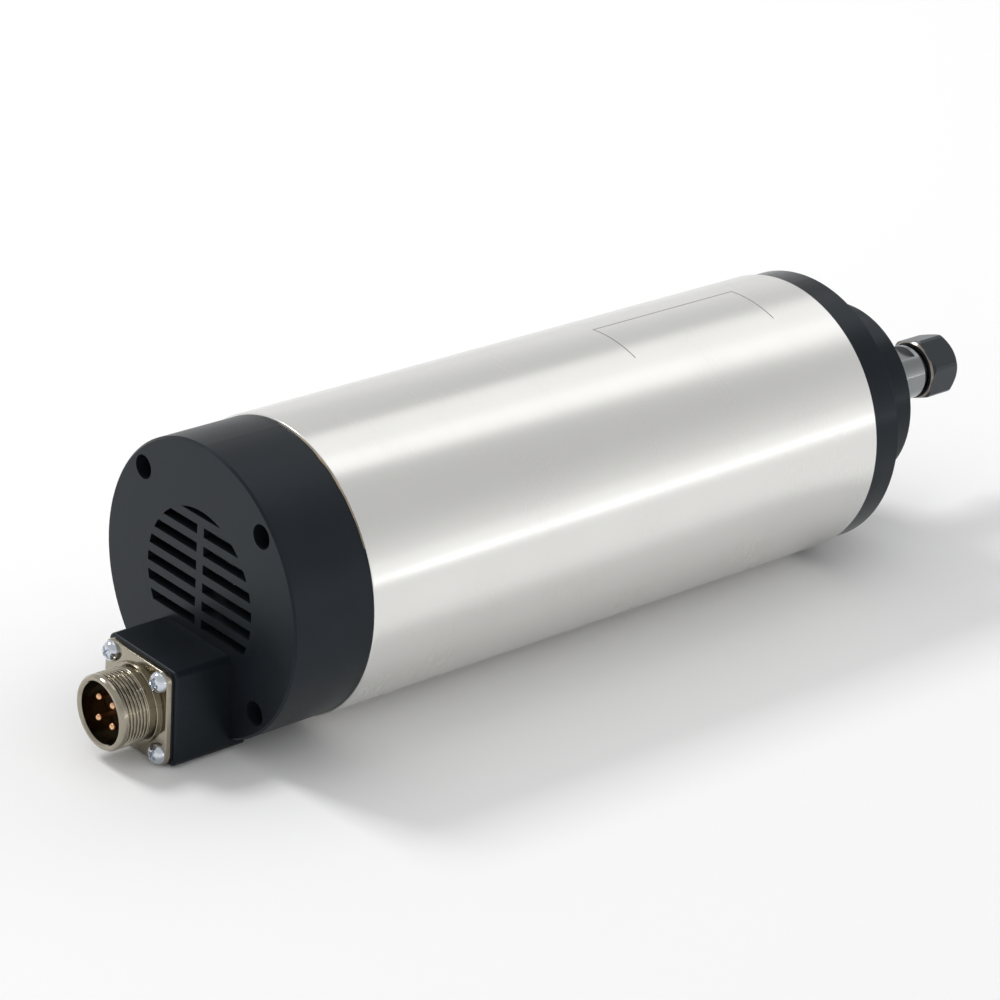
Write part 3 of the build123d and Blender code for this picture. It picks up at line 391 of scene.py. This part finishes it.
def finish(name, base, roughness, metallic=0.0, spread=0.06, stretch=(1.0, 1.0, 1.0),
           fine=1500.0, coarse=45.0, bump=0.0, specular=0.5, cloud=0.0, coat=0.0,
           tint=(1.0, 1.0, 1.0), brushed=0.0):
    """A material: one Principled shader whose roughness and bump come from the surface grain.
    Cloud sets soft patches in the base colour: darker above 0 and lighter below. A brushed
    finish has its scratches round X, so its gloss is spread along X."""
    material = bpy.data.materials.new(name)
    material.use_nodes = True
    nodes, links = material.node_tree.nodes, material.node_tree.links
    shader = nodes["Principled BSDF"]
    shader.inputs["Base Color"].default_value = (*base, 1.0)
    shader.inputs["Metallic"].default_value = metallic
    shader.inputs["Specular IOR Level"].default_value = specular
    shader.inputs["Specular Tint"].default_value = (*tint, 1.0)
    shader.inputs["Coat Weight"].default_value = coat
    shader.inputs["Coat Roughness"].default_value = COAT_ROUGHNESS
    if brushed:
        round_x = nodes.new("ShaderNodeTangent")
        round_x.direction_type, round_x.axis = "RADIAL", "X"
        links.new(round_x.outputs["Tangent"], shader.inputs["Tangent"])
        shader.inputs["Anisotropic"].default_value = brushed
        shader.inputs["Anisotropic Rotation"].default_value = BRUSH_TURN
    grain = nodes.new("ShaderNodeGroup")
    grain.node_tree = grain_group()
    grain.inputs["Stretch"].default_value = stretch
    grain.inputs["Fine scale"].default_value = fine
    grain.inputs["Coarse scale"].default_value = coarse
    grain.inputs["Roughness"].default_value = roughness
    grain.inputs["Spread"].default_value = spread
    links.new(grain.outputs["Roughness"], shader.inputs["Roughness"])
    if bump:
        height = nodes.new("ShaderNodeBump")
        height.inputs["Strength"].default_value = bump
        height.inputs["Distance"].default_value = BUMP_DISTANCE
        links.new(grain.outputs["Height"], height.inputs["Height"])
        links.new(height.outputs["Normal"], shader.inputs["Normal"])
    if cloud:
        shade = nodes.new("ShaderNodeMix")
        shade.data_type = "RGBA"
        shade.inputs["A"].default_value = (*base, 1.0)
        shade.inputs["B"].default_value = (*[c * (1 - cloud) for c in base], 1.0)
        links.new(grain.outputs["Cloud"], shade.inputs["Factor"])
        links.new(shade.outputs["Result"], shader.inputs["Base Color"])
    return material


def make_finishes():
    """Every finish of the spindle, by the name of its slot. The grain of a turned part is drawn
    out round the axis, that of the stacks into thin sheets, and that of the winding along X."""
    c = colours()
    hoops, sheets, wires = (1.0, 0.03, 0.03), (1.0, 0.02, 0.02), (0.1, 1.0, 1.0)
    black_sheen = 0.24
    return {
        "stainless": finish("Brushed stainless steel", c.steel, c.steel_gloss, metallic=1.0,
                            stretch=hoops, fine=2200.0, bump=0.03, cloud=0.06, brushed=0.7),
        "black_anodised": finish("Black anodised aluminium", c.anodised, roughness=0.24,
                                 spread=0.08, stretch=hoops, fine=2600.0, bump=0.06,
                                 specular=black_sheen, tint=c.sheen),
        "black_plastic": finish("Black moulded plastic", c.moulding, roughness=0.38, spread=0.14,
                                fine=1700.0, coarse=70.0, bump=0.16, specular=black_sheen,
                                tint=c.sheen, cloud=-1.6),
        "cast_aluminium": finish("Cast aluminium", c.casting, roughness=0.42, metallic=1.0,
                                 bump=0.3, fine=1200.0),
        "electrical_steel": finish("Electrical steel stack", c.lamination, roughness=0.45,
                                   metallic=1.0, stretch=sheets, fine=1600.0, bump=0.5),
        "winding": finish("Enamelled copper", c.enamel, roughness=0.32, metallic=0.6,
                          stretch=wires, fine=900.0, bump=0.8, coat=0.5),
        "slot_paper": finish("Slot paper", c.paper, roughness=0.75, bump=0.2),
        "ground_steel": finish("Ground steel", c.ground, roughness=0.20, metallic=1.0,
                               spread=0.10, stretch=hoops, fine=2400.0, bump=0.06, brushed=0.5),
        "bearing_steel": finish("Bearing steel", c.bearing, roughness=0.12, metallic=1.0),
        "cage_resin": finish("Cage resin", c.resin, roughness=0.5, bump=0.1),
        "brass": finish("Brass", c.brass, roughness=0.28, metallic=1.0),
        "spring_steel": finish("Spring steel", c.spring, roughness=0.35, metallic=1.0),
        "black_oxide": finish("Black oxide steel", c.oxide, roughness=0.33, metallic=0.55,
                              spread=0.10, fine=1800.0, bump=0.10),
        # The rear rim of the nut: a lighter metal that is partly rubbed wear and partly a painted
        # highlight.
        "worn_oxide": finish("Worn black oxide with painted highlight", c.worn, roughness=0.24, metallic=1.0,
                             spread=0.16, fine=1800.0, coarse=500.0, bump=0.15, cloud=0.5),
        "fan_plastic": finish("Fan plastic", c.fan, roughness=0.5, bump=0.15),
        "zinc": finish("Bright zinc", c.zinc, roughness=0.16, metallic=1.0, spread=0.10,
                       coarse=400.0),
        "nickel": finish("Nickel plating", c.nickel, roughness=0.15, metallic=1.0, spread=0.12,
                         coarse=260.0, bump=0.05, cloud=0.35),
        "insulator": finish("Connector insulator", c.insulator, roughness=0.38, bump=0.1),
        "pin_copper": finish("Pin plating", c.copper, roughness=0.16, metallic=1.0),
        "rubber": finish("Rubber gasket", c.rubber, roughness=0.7, bump=0.1),
        "lead_insulation": finish("Lead insulation", c.lead, roughness=0.45),
        "etching": finish("Laser-etched steel", c.etching, roughness=0.55, metallic=0.3),
        "glue": finish("Dried glue", c.glue, roughness=0.5, coarse=700.0, cloud=0.3),
    }


FINISHES = {}  # filled by the finishes step, by slot name


class SPINDLE_OT_finishes(bpy.types.Operator):
    """Make the finishes and give each plain part of the spindle the one of its slot"""

    bl_idname = "spindle.finishes"
    bl_label = "Finishes"

    def execute(self, context):
        FINISHES.update(make_finishes())
        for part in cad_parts.values():
            for place in part.material_slots:
                slot = place.material.name.split(".")[0] if place.material else ""
                if slot not in FINISHES:
                    raise RuntimeError(f"{part.name} has no known finish: {slot!r}")
                place.material = FINISHES[slot]
        return {"FINISHED"}


# ================= Body tube =================

class SPINDLE_OT_tube(bpy.types.Operator):
    """Make the steel tube, with its two rims rounded"""

    bl_idname = "spindle.tube"
    bl_label = "Tube"

    def execute(self, context):
        s = sizes()
        low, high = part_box("body_tube")
        outside = high.y
        inside = outside - s.tube_wall
        rim = s.tube_rim
        profile = soft_profile([(low.x, inside), (low.x, outside), (high.x, outside),
                                (high.x, inside)], [0, rim, rim, 0])
        new_piece("tube", [lathe(profile, ROUND)], FINISHES["stainless"], "root",
                  ["body_tube"])
        return {"FINISHED"}


class SPINDLE_OT_etching(bpy.types.Operator):
    """Make the bare etched frame on the tube: two short hoops and the line that joins them"""

    bl_idname = "spindle.etching"
    bl_label = "Etched frame"

    frame_from, frame_to = 0.605, 0.896                  # shares of the tube, from the rear
    angle_from, angle_to = radians(70.5), radians(95.0)  # up from -Y
    proud, sunk = 1e-5, 2e-5                             # above and below the face of the steel
    steps = 48                                           # along each bar

    def execute(self, context):
        s = sizes()
        low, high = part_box("body_tube")
        span = high.x - low.x
        x_from, x_to = low.x + self.frame_from * span, low.x + self.frame_to * span
        grids = [
            self.strip(high.y, (x_from, x_from + s.etched_line), (self.angle_from, self.angle_to)),
            self.strip(high.y, (x_to - s.etched_line, x_to), (self.angle_from, self.angle_to)),
            self.strip(high.y, (x_from, x_to),
                       (self.angle_to, self.angle_to + s.etched_line / high.y)),
        ]
        new_piece("etched_frame", grids, FINISHES["etching"], "root",
                  close_columns=False)
        return {"FINISHED"}

    def strip(self, radius, x_range, angle_range):
        """A closed flat bar bent round the tube: a thin rectangle in X and radius, carried round
        the axis from one angle to the other, with both ends drawn in to their middles."""
        x = np.array([x_range[0], x_range[1], x_range[1], x_range[0]])
        r = radius + np.array([self.proud, self.proud, -self.sunk, -self.sunk])
        a = np.linspace(*angle_range, self.steps)[None, :]
        y, z = -r[:, None] * np.cos(a), r[:, None] * np.sin(a)
        body = np.stack([x[:, None] + 0 * a, y, z], -1)
        end = body[:, [0]].mean(0, keepdims=True) + 0 * body[:, [0]]
        far = body[:, [-1]].mean(0, keepdims=True) + 0 * body[:, [0]]
        return np.concatenate([end, body, far], 1)


class SPINDLE_OT_glue(bpy.types.Operator):
    """Make the uneven streak of dried glue between the tube and the rear cap: a bead round part of
    the rim, whose radius ripples, swells at two blobs and falls to nothing at both ends"""

    bl_idname = "spindle.glue"
    bl_label = "Glue"

    angle_from, angle_to = radians(28.0), radians(92.0)  # up from -Y
    least, ripple = 0.45, 0.30                           # of the bead, and of its waves
    waves, wave_start = 17, 0.8
    blobs = ((0.55, 0.58, 0.035), (0.25, 0.36, 0.05))    # size, place along the bead, width
    back, under = 0.2, 0.1                               # beads behind the rim and under the cap
    steps = 12                                           # round the bead

    def execute(self, context):
        bead = sizes().glue_radius
        low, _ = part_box("body_tube")
        cap_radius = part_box("rear_cap")[1].y
        a = np.linspace(self.angle_from, self.angle_to, ROUND)[:, None]
        b = turn_angles(self.steps)[None, :]
        along = (a - self.angle_from) / (self.angle_to - self.angle_from)
        swell = self.least + self.ripple * np.sin(self.waves * along + self.wave_start) ** 2
        for size, middle, width in self.blobs:
            swell = swell + size * np.exp(-((along - middle) / width) ** 2)
        radius = bead * swell * np.clip(4 * along * (1 - along), 0, 1) ** 0.5
        x = low.x - self.back * bead + radius * np.sin(b)
        r = cap_radius - self.under * bead + radius * np.cos(b)
        grid = np.stack([x, -r * np.cos(a), r * np.sin(a)], -1)
        new_piece("glue_bead", [grid], FINISHES["glue"], "root",
                  close_rows=False)
        return {"FINISHED"}


# ================= Connector =================

class Stations(NamedTuple):
    """Where the connector stands: its middle line, and the X of its faces."""

    y: float
    z: float
    plate_front: float
    plate_back: float
    shell_front: float
    insulator_front: float


def connector_stations():
    """The stations of the connector, from the boxes of the plain parts."""
    middle = middle_of("connector_gasket")
    plate_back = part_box("connector_gasket")[0].x
    return Stations(middle.y, middle.z, plate_back - sizes().plate_thickness, plate_back,
                    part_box("connector_shell")[0].x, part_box("connector_insulator")[0].x)


class SPINDLE_OT_connector(bpy.types.Operator):
    """Make the threaded connector shell and its square plate"""

    bl_idname = "spindle.connector"
    bl_label = "Connector"

    thread_start, thread_stop = 1.9, 0.25        # rims behind the front, pitches before the neck
    thread_rise = 0.0006                         # length over which the thread gets its depth
    pitch_samples = 14                           # points along one pitch
    flank_foot, flank_crest = 0.12, 0.85         # shares of the wave between which a flank lies
    neck_slope = collar_rounding = 0.0002
    bore_samples = 12                            # points along the bore
    mouth_length, mouth_width = 0.0006, 0.0005   # of the bevel inside the rim
    mouth_rounding, rim_rounding = 0.00025, 0.00045
    rim_share = 0.6                              # depth of the outer bevel over its length
    key_foot, key_crown = 0.58, 0.42             # widths from the middle of the key
    key_inset = 0.0008                           # from the front of the shell to the key
    least_wall = 0.0008                          # what lies further from the bore is outside

    def execute(self, context):
        new_piece("connector_body", [self.shell(), self.plate()], FINISHES["nickel"], "root",
                  ["connector_shell"])
        return {"FINISHED"}

    def shell(self):
        """A turned wall: the outside runs from the rim over the thread, the neck and the collar,
        and the inside runs back down the bore. In the threaded stretch the radius drops by the
        thread depth times a wave of x / pitch - angle / full turn, so the crests are a helix.
        In the bore the radius drops by the key height inside a window about the -Y side."""
        s, at = sizes(), connector_stations()
        front, bottom = at.shell_front, at.insulator_front + OVERLAP
        collar = at.plate_front - s.shell_collar_length
        neck = collar - s.shell_neck_length
        thread_from = front + self.thread_start * s.shell_rim
        thread_to = neck - self.thread_stop * s.thread_pitch
        samples = int(self.pitch_samples * (thread_to - thread_from) / s.thread_pitch)
        outer = [(front + s.shell_rim, s.shell_radius)]
        outer += [(x, s.shell_radius) for x in np.linspace(thread_from, thread_to, samples)]
        outer += [(neck, s.shell_radius - s.thread_depth), (neck + self.neck_slope, s.shell_neck)]
        foot = soft_profile([
            (collar, s.shell_neck), (collar, s.shell_collar),
            (at.plate_front + OVERLAP, s.shell_collar), (at.plate_front + OVERLAP, s.shell_bore),
            (bottom, s.shell_bore)], [0, self.collar_rounding, 0, 0, 0])
        inner = [(x, s.shell_bore)
                 for x in np.linspace(bottom, front + self.mouth_length, self.bore_samples)]
        lip = soft_profile([
            (front + self.mouth_length, s.shell_bore), (front, s.shell_bore + self.mouth_width),
            (front, s.shell_radius - self.rim_share * s.shell_rim),
            (front + s.shell_rim, s.shell_radius)], [0, self.mouth_rounding, self.rim_rounding, 0])
        profile = np.concatenate([np.array(outer), foot, np.array(inner), lip])
        x, r = profile[:, 0], profile[:, 1]
        a = turn_angles(SMALL_ROUND * 2)[:, None]
        outside = r > s.shell_bore + self.least_wall
        on_thread = (smooth_step(thread_from, thread_from + self.thread_rise, x)
                     * smooth_step(thread_to, thread_to - self.thread_rise, x) * outside)[None, :]
        phase = x[None, :] / s.thread_pitch - a / (2 * pi)
        wave = 1 - np.abs(2 * (phase % 1.0) - 1)
        depth = s.thread_depth * smooth_step(self.flank_foot, self.flank_crest, wave)
        from_key = np.abs(pi - (a % (2 * pi))) * s.shell_bore / s.key_width
        in_window = smooth_step(self.key_foot, self.key_crown, from_key)
        on_bore = ((np.abs(r - s.shell_bore) < SAME_POINT) & (x < at.insulator_front + 2 * OVERLAP)
                   & (x > front + self.key_inset))[None, :]
        radius = r[None, :] - depth * on_thread - s.key_height * in_window * on_bore
        return np.stack([x[None, :] + 0 * a, at.y + radius * np.cos(a),
                         at.z + radius * np.sin(a)], -1)

    def plate(self):
        """A square plate with rounded corners and a round hole: its closed section goes from the
        hole out to the outline in front, round the edge and back to the hole behind. Between the
        hole and the outline a point moves in a straight line."""
        s, at = sizes(), connector_stations()
        low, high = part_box("connector_shell")
        half_width, half_height = (high.y - low.y) / 2, (high.z - low.z) / 2
        steps = SMALL_ROUND
        outline = rounded_square(half_width, half_height, s.plate_corner, steps)
        inset = rounded_square(half_width - s.plate_edge, half_height - s.plate_edge,
                               s.plate_corner - s.plate_edge, steps)
        angle = np.arctan2(outline[:, 1], outline[:, 0])
        hole = s.shell_bore * np.stack([np.cos(angle), np.sin(angle)], -1)
        t = np.linspace(0, pi / 2, CORNER_STEPS)[None, :, None]
        edge = inset[:, None] + (outline - inset)[:, None] * np.sin(t)
        edge_x = at.plate_front + s.plate_edge * (1 - np.cos(t[..., 0])) + 0 * edge[..., 0]
        ring = np.concatenate([hole[:, None], edge, outline[:, None], hole[:, None]], 1)
        x = np.concatenate([np.full((steps, 1), at.plate_front), edge_x,
                            np.full((steps, 2), at.plate_back)], 1)
        return np.stack([x, at.y + ring[..., 0], at.z + ring[..., 1]], -1)


class SPINDLE_OT_plate_screws(bpy.types.Operator):
    """Make the four pan-head screws of the connector plate, with cross recesses"""

    bl_idname = "spindle.plate_screws"
    bl_label = "Plate screws"

    first_turn, turn_step = 0.55, 1.15  # of the recesses, in radians
    dome_out, dome_up = 3.2, 0.55       # powers that shape the dome
    crown_to, rim_from = 0.8, 0.82      # shares of the radius
    crown_steps, rim_steps = 34, 12     # points on the crown, with its recess, and on the rim
    soft_edge = 0.00011                 # half the width of the edge of the recess
    flare, flare_reach = 0.25, 0.0007   # how the arms widen near the middle
    floor_rise = 0.45                   # share of the depth lost at the end of an arm

    def execute(self, context):
        s, at = sizes(), connector_stations()
        low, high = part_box("connector_screws")
        reach_y = (high.y - low.y) / 2 - s.head_radius
        reach_z = (high.z - low.z) / 2 - s.head_radius
        corners = [(at.y + i * reach_y, at.z + j * reach_z) for i in (-1, 1) for j in (-1, 1)]
        grids = [self.head(at.plate_front, corner, self.first_turn + k * self.turn_step)
                 for k, corner in enumerate(corners)]
        new_piece("plate_screws", grids, FINISHES["zinc"], "root", ["connector_screws"])
        return {"FINISHED"}

    def head(self, seat, corner, turn):
        """A domed disc: with q for the radius over that of the head, its height over the seat is
        the head height times (1 - q^dome out)^dome up, less the recess, which is deepest in the
        middle and falls off to zero outside two crossed arms. The section closes under the
        head."""
        s = sizes()
        a = turn_angles(SMALL_ROUND)[:, None]
        share_out = np.concatenate([np.linspace(0, self.crown_to, self.crown_steps),
                                    np.linspace(self.rim_from, 1, self.rim_steps)])[None, :]
        r = s.head_radius * share_out
        across, along = r * np.cos(a - turn), r * np.sin(a - turn)
        soft = self.soft_edge

        def arm(side, forward):
            """1 inside one pair of arms of the recess and 0 outside it."""
            near = np.maximum(0, self.flare_reach - np.abs(forward))
            width = s.recess_width + self.flare * near
            return (smooth_step(width + soft, width - soft, np.abs(side))
                    * smooth_step(s.recess_length + soft, s.recess_length - soft, np.abs(forward)))

        cross = np.maximum(arm(across, along), arm(along, across))
        dome = s.head_height * (1 - share_out ** self.dome_out) ** self.dome_up
        height = dome - cross * s.recess_depth * (1 - self.floor_rise * r / s.recess_length)
        top = np.stack([seat - height, corner[0] + r * np.cos(a), corner[1] + r * np.sin(a)], -1)
        foot = seat + OVERLAP
        under = lathe(np.array([(foot, s.head_radius), (foot, 0.0)]), SMALL_ROUND, corner)
        return np.concatenate([top, under], 1)


class SPINDLE_OT_pins(bpy.types.Operator):
    """Make the four contact pins: turned rods, each with a tip that is a quarter of an ellipse"""

    bl_idname = "spindle.pins"
    bl_label = "Pins"

    plain_radius, dome_length = 1.2, 1.1  # of a plain pin and of a tip, in pin radii
    dome_steps, steps = 12, 32            # along the tip and round the pin

    def execute(self, context):
        s = sizes()
        low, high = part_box("connector_pins")
        middle = middle_of("connector_pins")
        reach = (high.y - low.y) / 2 - self.plain_radius * s.pin_radius
        t = np.linspace(0, pi / 2, self.dome_steps)
        dome_x = low.x - s.pin_reach + self.dome_length * s.pin_radius * (1 - np.cos(t))
        dome = np.stack([dome_x, s.pin_radius * np.sin(t)], -1)
        profile = np.concatenate([dome, [(high.x, s.pin_radius), (high.x, 0.0)]])
        grids = [lathe(profile, self.steps, (middle.y + i * reach, middle.z + j * reach))
                 for i in (-1, 1) for j in (-1, 1)]
        new_piece("contact_pins", grids, FINISHES["pin_copper"], "root",
                  ["connector_pins"])
        return {"FINISHED"}


# ================= Collet nut =================

class SPINDLE_OT_nut(bpy.types.Operator):
    """Make the collet nut, a hexagon with its corners turned away at both ends"""

    bl_idname = "spindle.nut"
    bl_label = "Collet nut"

    end_share = 1.6                  # chamfers over which the ends are sampled finely
    end_steps, middle_steps = 12, 8  # points along an end and between the ends
    lip = 0.0004                     # bevels of the mouth and of the threaded end
    mouth_lips = 4                   # bevels from the front to the top of the inner cone
    seat_length = 0.0055             # from the front to the foot of the inner cone

    def execute(self, context):
        wall, worn = self.wall()
        new_piece("clamp_nut", [wall], FINISHES["black_oxide"], "nut",
                  ["collet_nut"], second=FINISHES["worn_oxide"], second_on=worn)
        return {"FINISHED"}

    def wall(self):
        """A closed section whose outside depends on the angle: the radius is the least of the
        hexagon's, half the flats over the cosine of the angle from the nearest flat, the turned
        corner radius, and a cone that drops the chamfer over its own length at each end. The
        inside is turned: a threaded bore behind, then a cone that narrows to the mouth in front.
        The rim of the rear cone is marked for a lighter metal: partly rubbed wear, partly a painted
        highlight where the rear edge catches the light."""
        s, lip = sizes(), self.lip
        low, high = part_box("collet_nut")
        a = turn_angles(ROUND * 2)[:, None]
        ends = np.linspace(0, self.end_share * s.nut_chamfer, self.end_steps)
        body = np.linspace(low.x + ends[-1], high.x - ends[-1], self.middle_steps + 2)[1:-1]
        x = np.concatenate([low.x + ends, body, (high.x - ends)[::-1]])[None, :]
        from_flat = (a - s.nut_turn + pi / 6) % (pi / 3) - pi / 6
        hexagon = s.nut_flats / 2 / np.cos(from_flat)
        from_end = np.minimum(x - low.x, high.x - x)
        cone = s.nut_corner - s.nut_chamfer + from_end
        outside = np.minimum(np.minimum(hexagon, s.nut_corner), cone)
        inside = soft_profile([
            (high.x, s.nut_mouth + lip), (high.x - lip, s.nut_mouth),
            (high.x - self.mouth_lips * lip, s.nut_mouth), (high.x - self.seat_length, s.nut_bore),
            (low.x + lip, s.nut_bore), (low.x, s.nut_bore + lip)], [0, lip / 2, 0, 0, lip / 2, 0])
        inner = lathe(inside, ROUND * 2)
        outer = np.stack([x + 0 * a, outside * np.cos(a), outside * np.sin(a)], -1)
        # Faces on the rear rim of the cone take the lighter metal: rubbed wear plus a painted
        # highlight where the edge catches the light.
        on_cone = (cone <= outside + SAME_POINT) & (x < low.x + s.nut_wear_and_highlight)
        worn = np.concatenate([on_cone, np.zeros(inner.shape[:2], bool)], 1)
        return np.concatenate([outer, inner], 1), worn


# ================= Studio =================

SENSOR_WIDTH = 36.0              # millimetres
SEEN_TO = 100.0                  # metres from the camera
LEVEL = Vector((1.0, 0.0, 0.0))  # the long side of a lamp turns as near to this as it can


class Lamp(NamedTuple):
    """Where a soft lamp stands, what it faces, its two sides, and whether it only shows in
    reflections."""

    place: tuple
    aim: tuple
    size: tuple
    shine_only: bool = False


# The light of each lamp is the studio value of the same name.
LAMPS = {
    "softbox": Lamp(place=(1.10, 0.25, 1.45), aim=(0.10, 0.0, 0.0), size=(2.6, 1.15)),
    "softbox_core": Lamp(place=(1.10, -0.02, 1.46), aim=(0.10, 0.0, 0.0), size=(2.6, 0.40)),
    "panel": Lamp(place=(1.35, -1.80, 0.24), aim=(0.10, 0.0, 0.04), size=(2.4, 0.46),
                  shine_only=True),
    "strip": Lamp(place=(1.35, -1.79, 0.020), aim=(0.10, 0.0, 0.03), size=(2.4, 0.022),
                  shine_only=True),
    "key": Lamp(place=(-0.45, 1.05, 1.35), aim=(0.0, 0.0, 0.0), size=(0.5, 0.4)),
}


class SPINDLE_OT_studio(bpy.types.Operator):
    """Make the floor, the studio dome, the lamps and the camera"""

    bl_idname = "spindle.studio"
    bl_label = "Studio"

    def execute(self, context):
        self.floor()
        self.dome()
        for name, lamp in LAMPS.items():
            self.lamp(name, lamp, getattr(studio(), name))
        self.camera()
        context.scene.view_settings.view_transform = "Standard"
        return {"FINISHED"}

    def floor(self):
        """A square matt floor just under the lowest point."""
        v = studio()
        height = CAD_BOUNDS[0][2] - v.floor_drop
        half = v.floor_size / 2
        mesh = bpy.data.meshes.new("floor")
        mesh.from_pydata([(-half, -half, height), (half, -half, height), (half, half, height),
                          (-half, half, height)], [], [(0, 1, 2, 3)])
        floor = bpy.data.objects.new("floor", mesh)
        bpy.context.scene.collection.objects.link(floor)
        material = bpy.data.materials.new("Studio floor")
        material.use_nodes = True
        shader = material.node_tree.nodes["Principled BSDF"]
        shader.inputs["Base Color"].default_value = (*v.floor, 1.0)
        shader.inputs["Roughness"].default_value = 1.0
        shader.inputs["Specular IOR Level"].default_value = 0.0
        mesh.materials.append(material)

    def dome(self):
        """A studio dome: a white wall all round that fades into a greyer ceiling. The light
        depends only on the height of the direction, from 0 at the horizon to 1 overhead."""
        v = studio()
        world = bpy.data.worlds.new("Studio dome")
        bpy.context.scene.world = world
        world.use_nodes = True
        nodes, links = world.node_tree.nodes, world.node_tree.links
        nodes.clear()
        place, parts = nodes.new("ShaderNodeTexCoord"), nodes.new("ShaderNodeSeparateXYZ")
        links.new(place.outputs["Generated"], parts.inputs[0])
        fall = nodes.new("ShaderNodeMapRange")
        fall.interpolation_type = "SMOOTHERSTEP"
        fall.inputs["From Min"].default_value = v.wall_top
        fall.inputs["From Max"].default_value = v.ceiling_edge
        fall.inputs["To Min"].default_value = v.wall
        fall.inputs["To Max"].default_value = v.ceiling
        links.new(parts.outputs["Z"], fall.inputs["Value"])
        background, out = nodes.new("ShaderNodeBackground"), nodes.new("ShaderNodeOutputWorld")
        links.new(fall.outputs[0], background.inputs["Strength"])
        links.new(background.outputs[0], out.inputs["Surface"])

    def lamp(self, name, lamp, light):
        """A rectangular soft lamp that faces its aim, with its long side level. Its power is
        pi times its light times its area. A lamp for shine only lights no matt surface."""
        data = bpy.data.lights.new(name, "AREA")
        data.shape = "RECTANGLE"
        data.size, data.size_y = lamp.size
        data.energy = pi * light * lamp.size[0] * lamp.size[1]
        fitting = bpy.data.objects.new(name, data)
        fitting.visible_diffuse = not lamp.shine_only
        bpy.context.scene.collection.objects.link(fitting)
        back = (Vector(lamp.place) - Vector(lamp.aim)).normalized()
        side = (LEVEL - back * LEVEL.dot(back)).normalized()
        turn = Matrix((side, back.cross(side), back)).transposed().to_4x4()
        fitting.matrix_world = Matrix.Translation(lamp.place) @ turn

    def camera(self):
        """A camera that looks from its place to its aim, then turns by its roll."""
        v = studio()
        place, aim = Vector(v.camera_place), Vector(v.camera_aim)
        data = bpy.data.cameras.new("camera")
        data.lens, data.sensor_width, data.clip_end = v.lens, SENSOR_WIDTH, SEEN_TO
        camera = bpy.data.objects.new("camera", data)
        bpy.context.scene.collection.objects.link(camera)
        look = (aim - place).to_track_quat("-Z", "Y").to_matrix().to_4x4()
        camera.matrix_world = (Matrix.Translation(place) @ look
                               @ Matrix.Rotation(v.camera_roll, 4, "Z"))
        bpy.context.scene.camera = camera


# ================= Panel and registration =================

OPERATORS = (SPINDLE_OT_finishes, SPINDLE_OT_tube, SPINDLE_OT_etching, SPINDLE_OT_glue,
             SPINDLE_OT_connector, SPINDLE_OT_plate_screws, SPINDLE_OT_pins, SPINDLE_OT_nut,
             SPINDLE_OT_studio)
GROUPS = (SpindleSizes, SpindleColours, SpindleStudio)


class SPINDLE_PT_panel(bpy.types.Panel):
    """Lists the steps in the order in which they run, then the values"""

    bl_label = "Motor spindle"
    bl_idname = "SPINDLE_PT_panel"
    bl_space_type = "VIEW_3D"
    bl_region_type = "UI"
    bl_category = "Spindle"

    def draw(self, context):
        for step in OPERATORS:
            self.layout.operator(step.bl_idname)
        for group in (context.scene.spindle_sizes, context.scene.spindle_colours,
                      context.scene.spindle_studio):
            box = self.layout.box()
            for name in group.bl_rna.properties.keys():
                if name not in ("rna_type", "name"):
                    box.prop(group, name)


def register():
    """Register the values, the steps and the panel."""
    for group in GROUPS:
        bpy.utils.register_class(group)
    bpy.types.Scene.spindle_sizes = bpy.props.PointerProperty(type=SpindleSizes)
    bpy.types.Scene.spindle_colours = bpy.props.PointerProperty(type=SpindleColours)
    bpy.types.Scene.spindle_studio = bpy.props.PointerProperty(type=SpindleStudio)
    for step in OPERATORS:
        bpy.utils.register_class(step)
    bpy.utils.register_class(SPINDLE_PT_panel)


def unregister():
    """Take them out again, in the opposite order."""
    bpy.utils.unregister_class(SPINDLE_PT_panel)
    for step in reversed(OPERATORS):
        bpy.utils.unregister_class(step)
    del bpy.types.Scene.spindle_studio
    del bpy.types.Scene.spindle_colours
    del bpy.types.Scene.spindle_sizes
    for group in reversed(GROUPS):
        bpy.utils.unregister_class(group)


def main():
    """Run every step in order."""
    register()
    for step in OPERATORS:
        group, name = step.bl_idname.split(".")
        getattr(getattr(bpy.ops, group), name)()


if __name__ == "__main__":
    main()
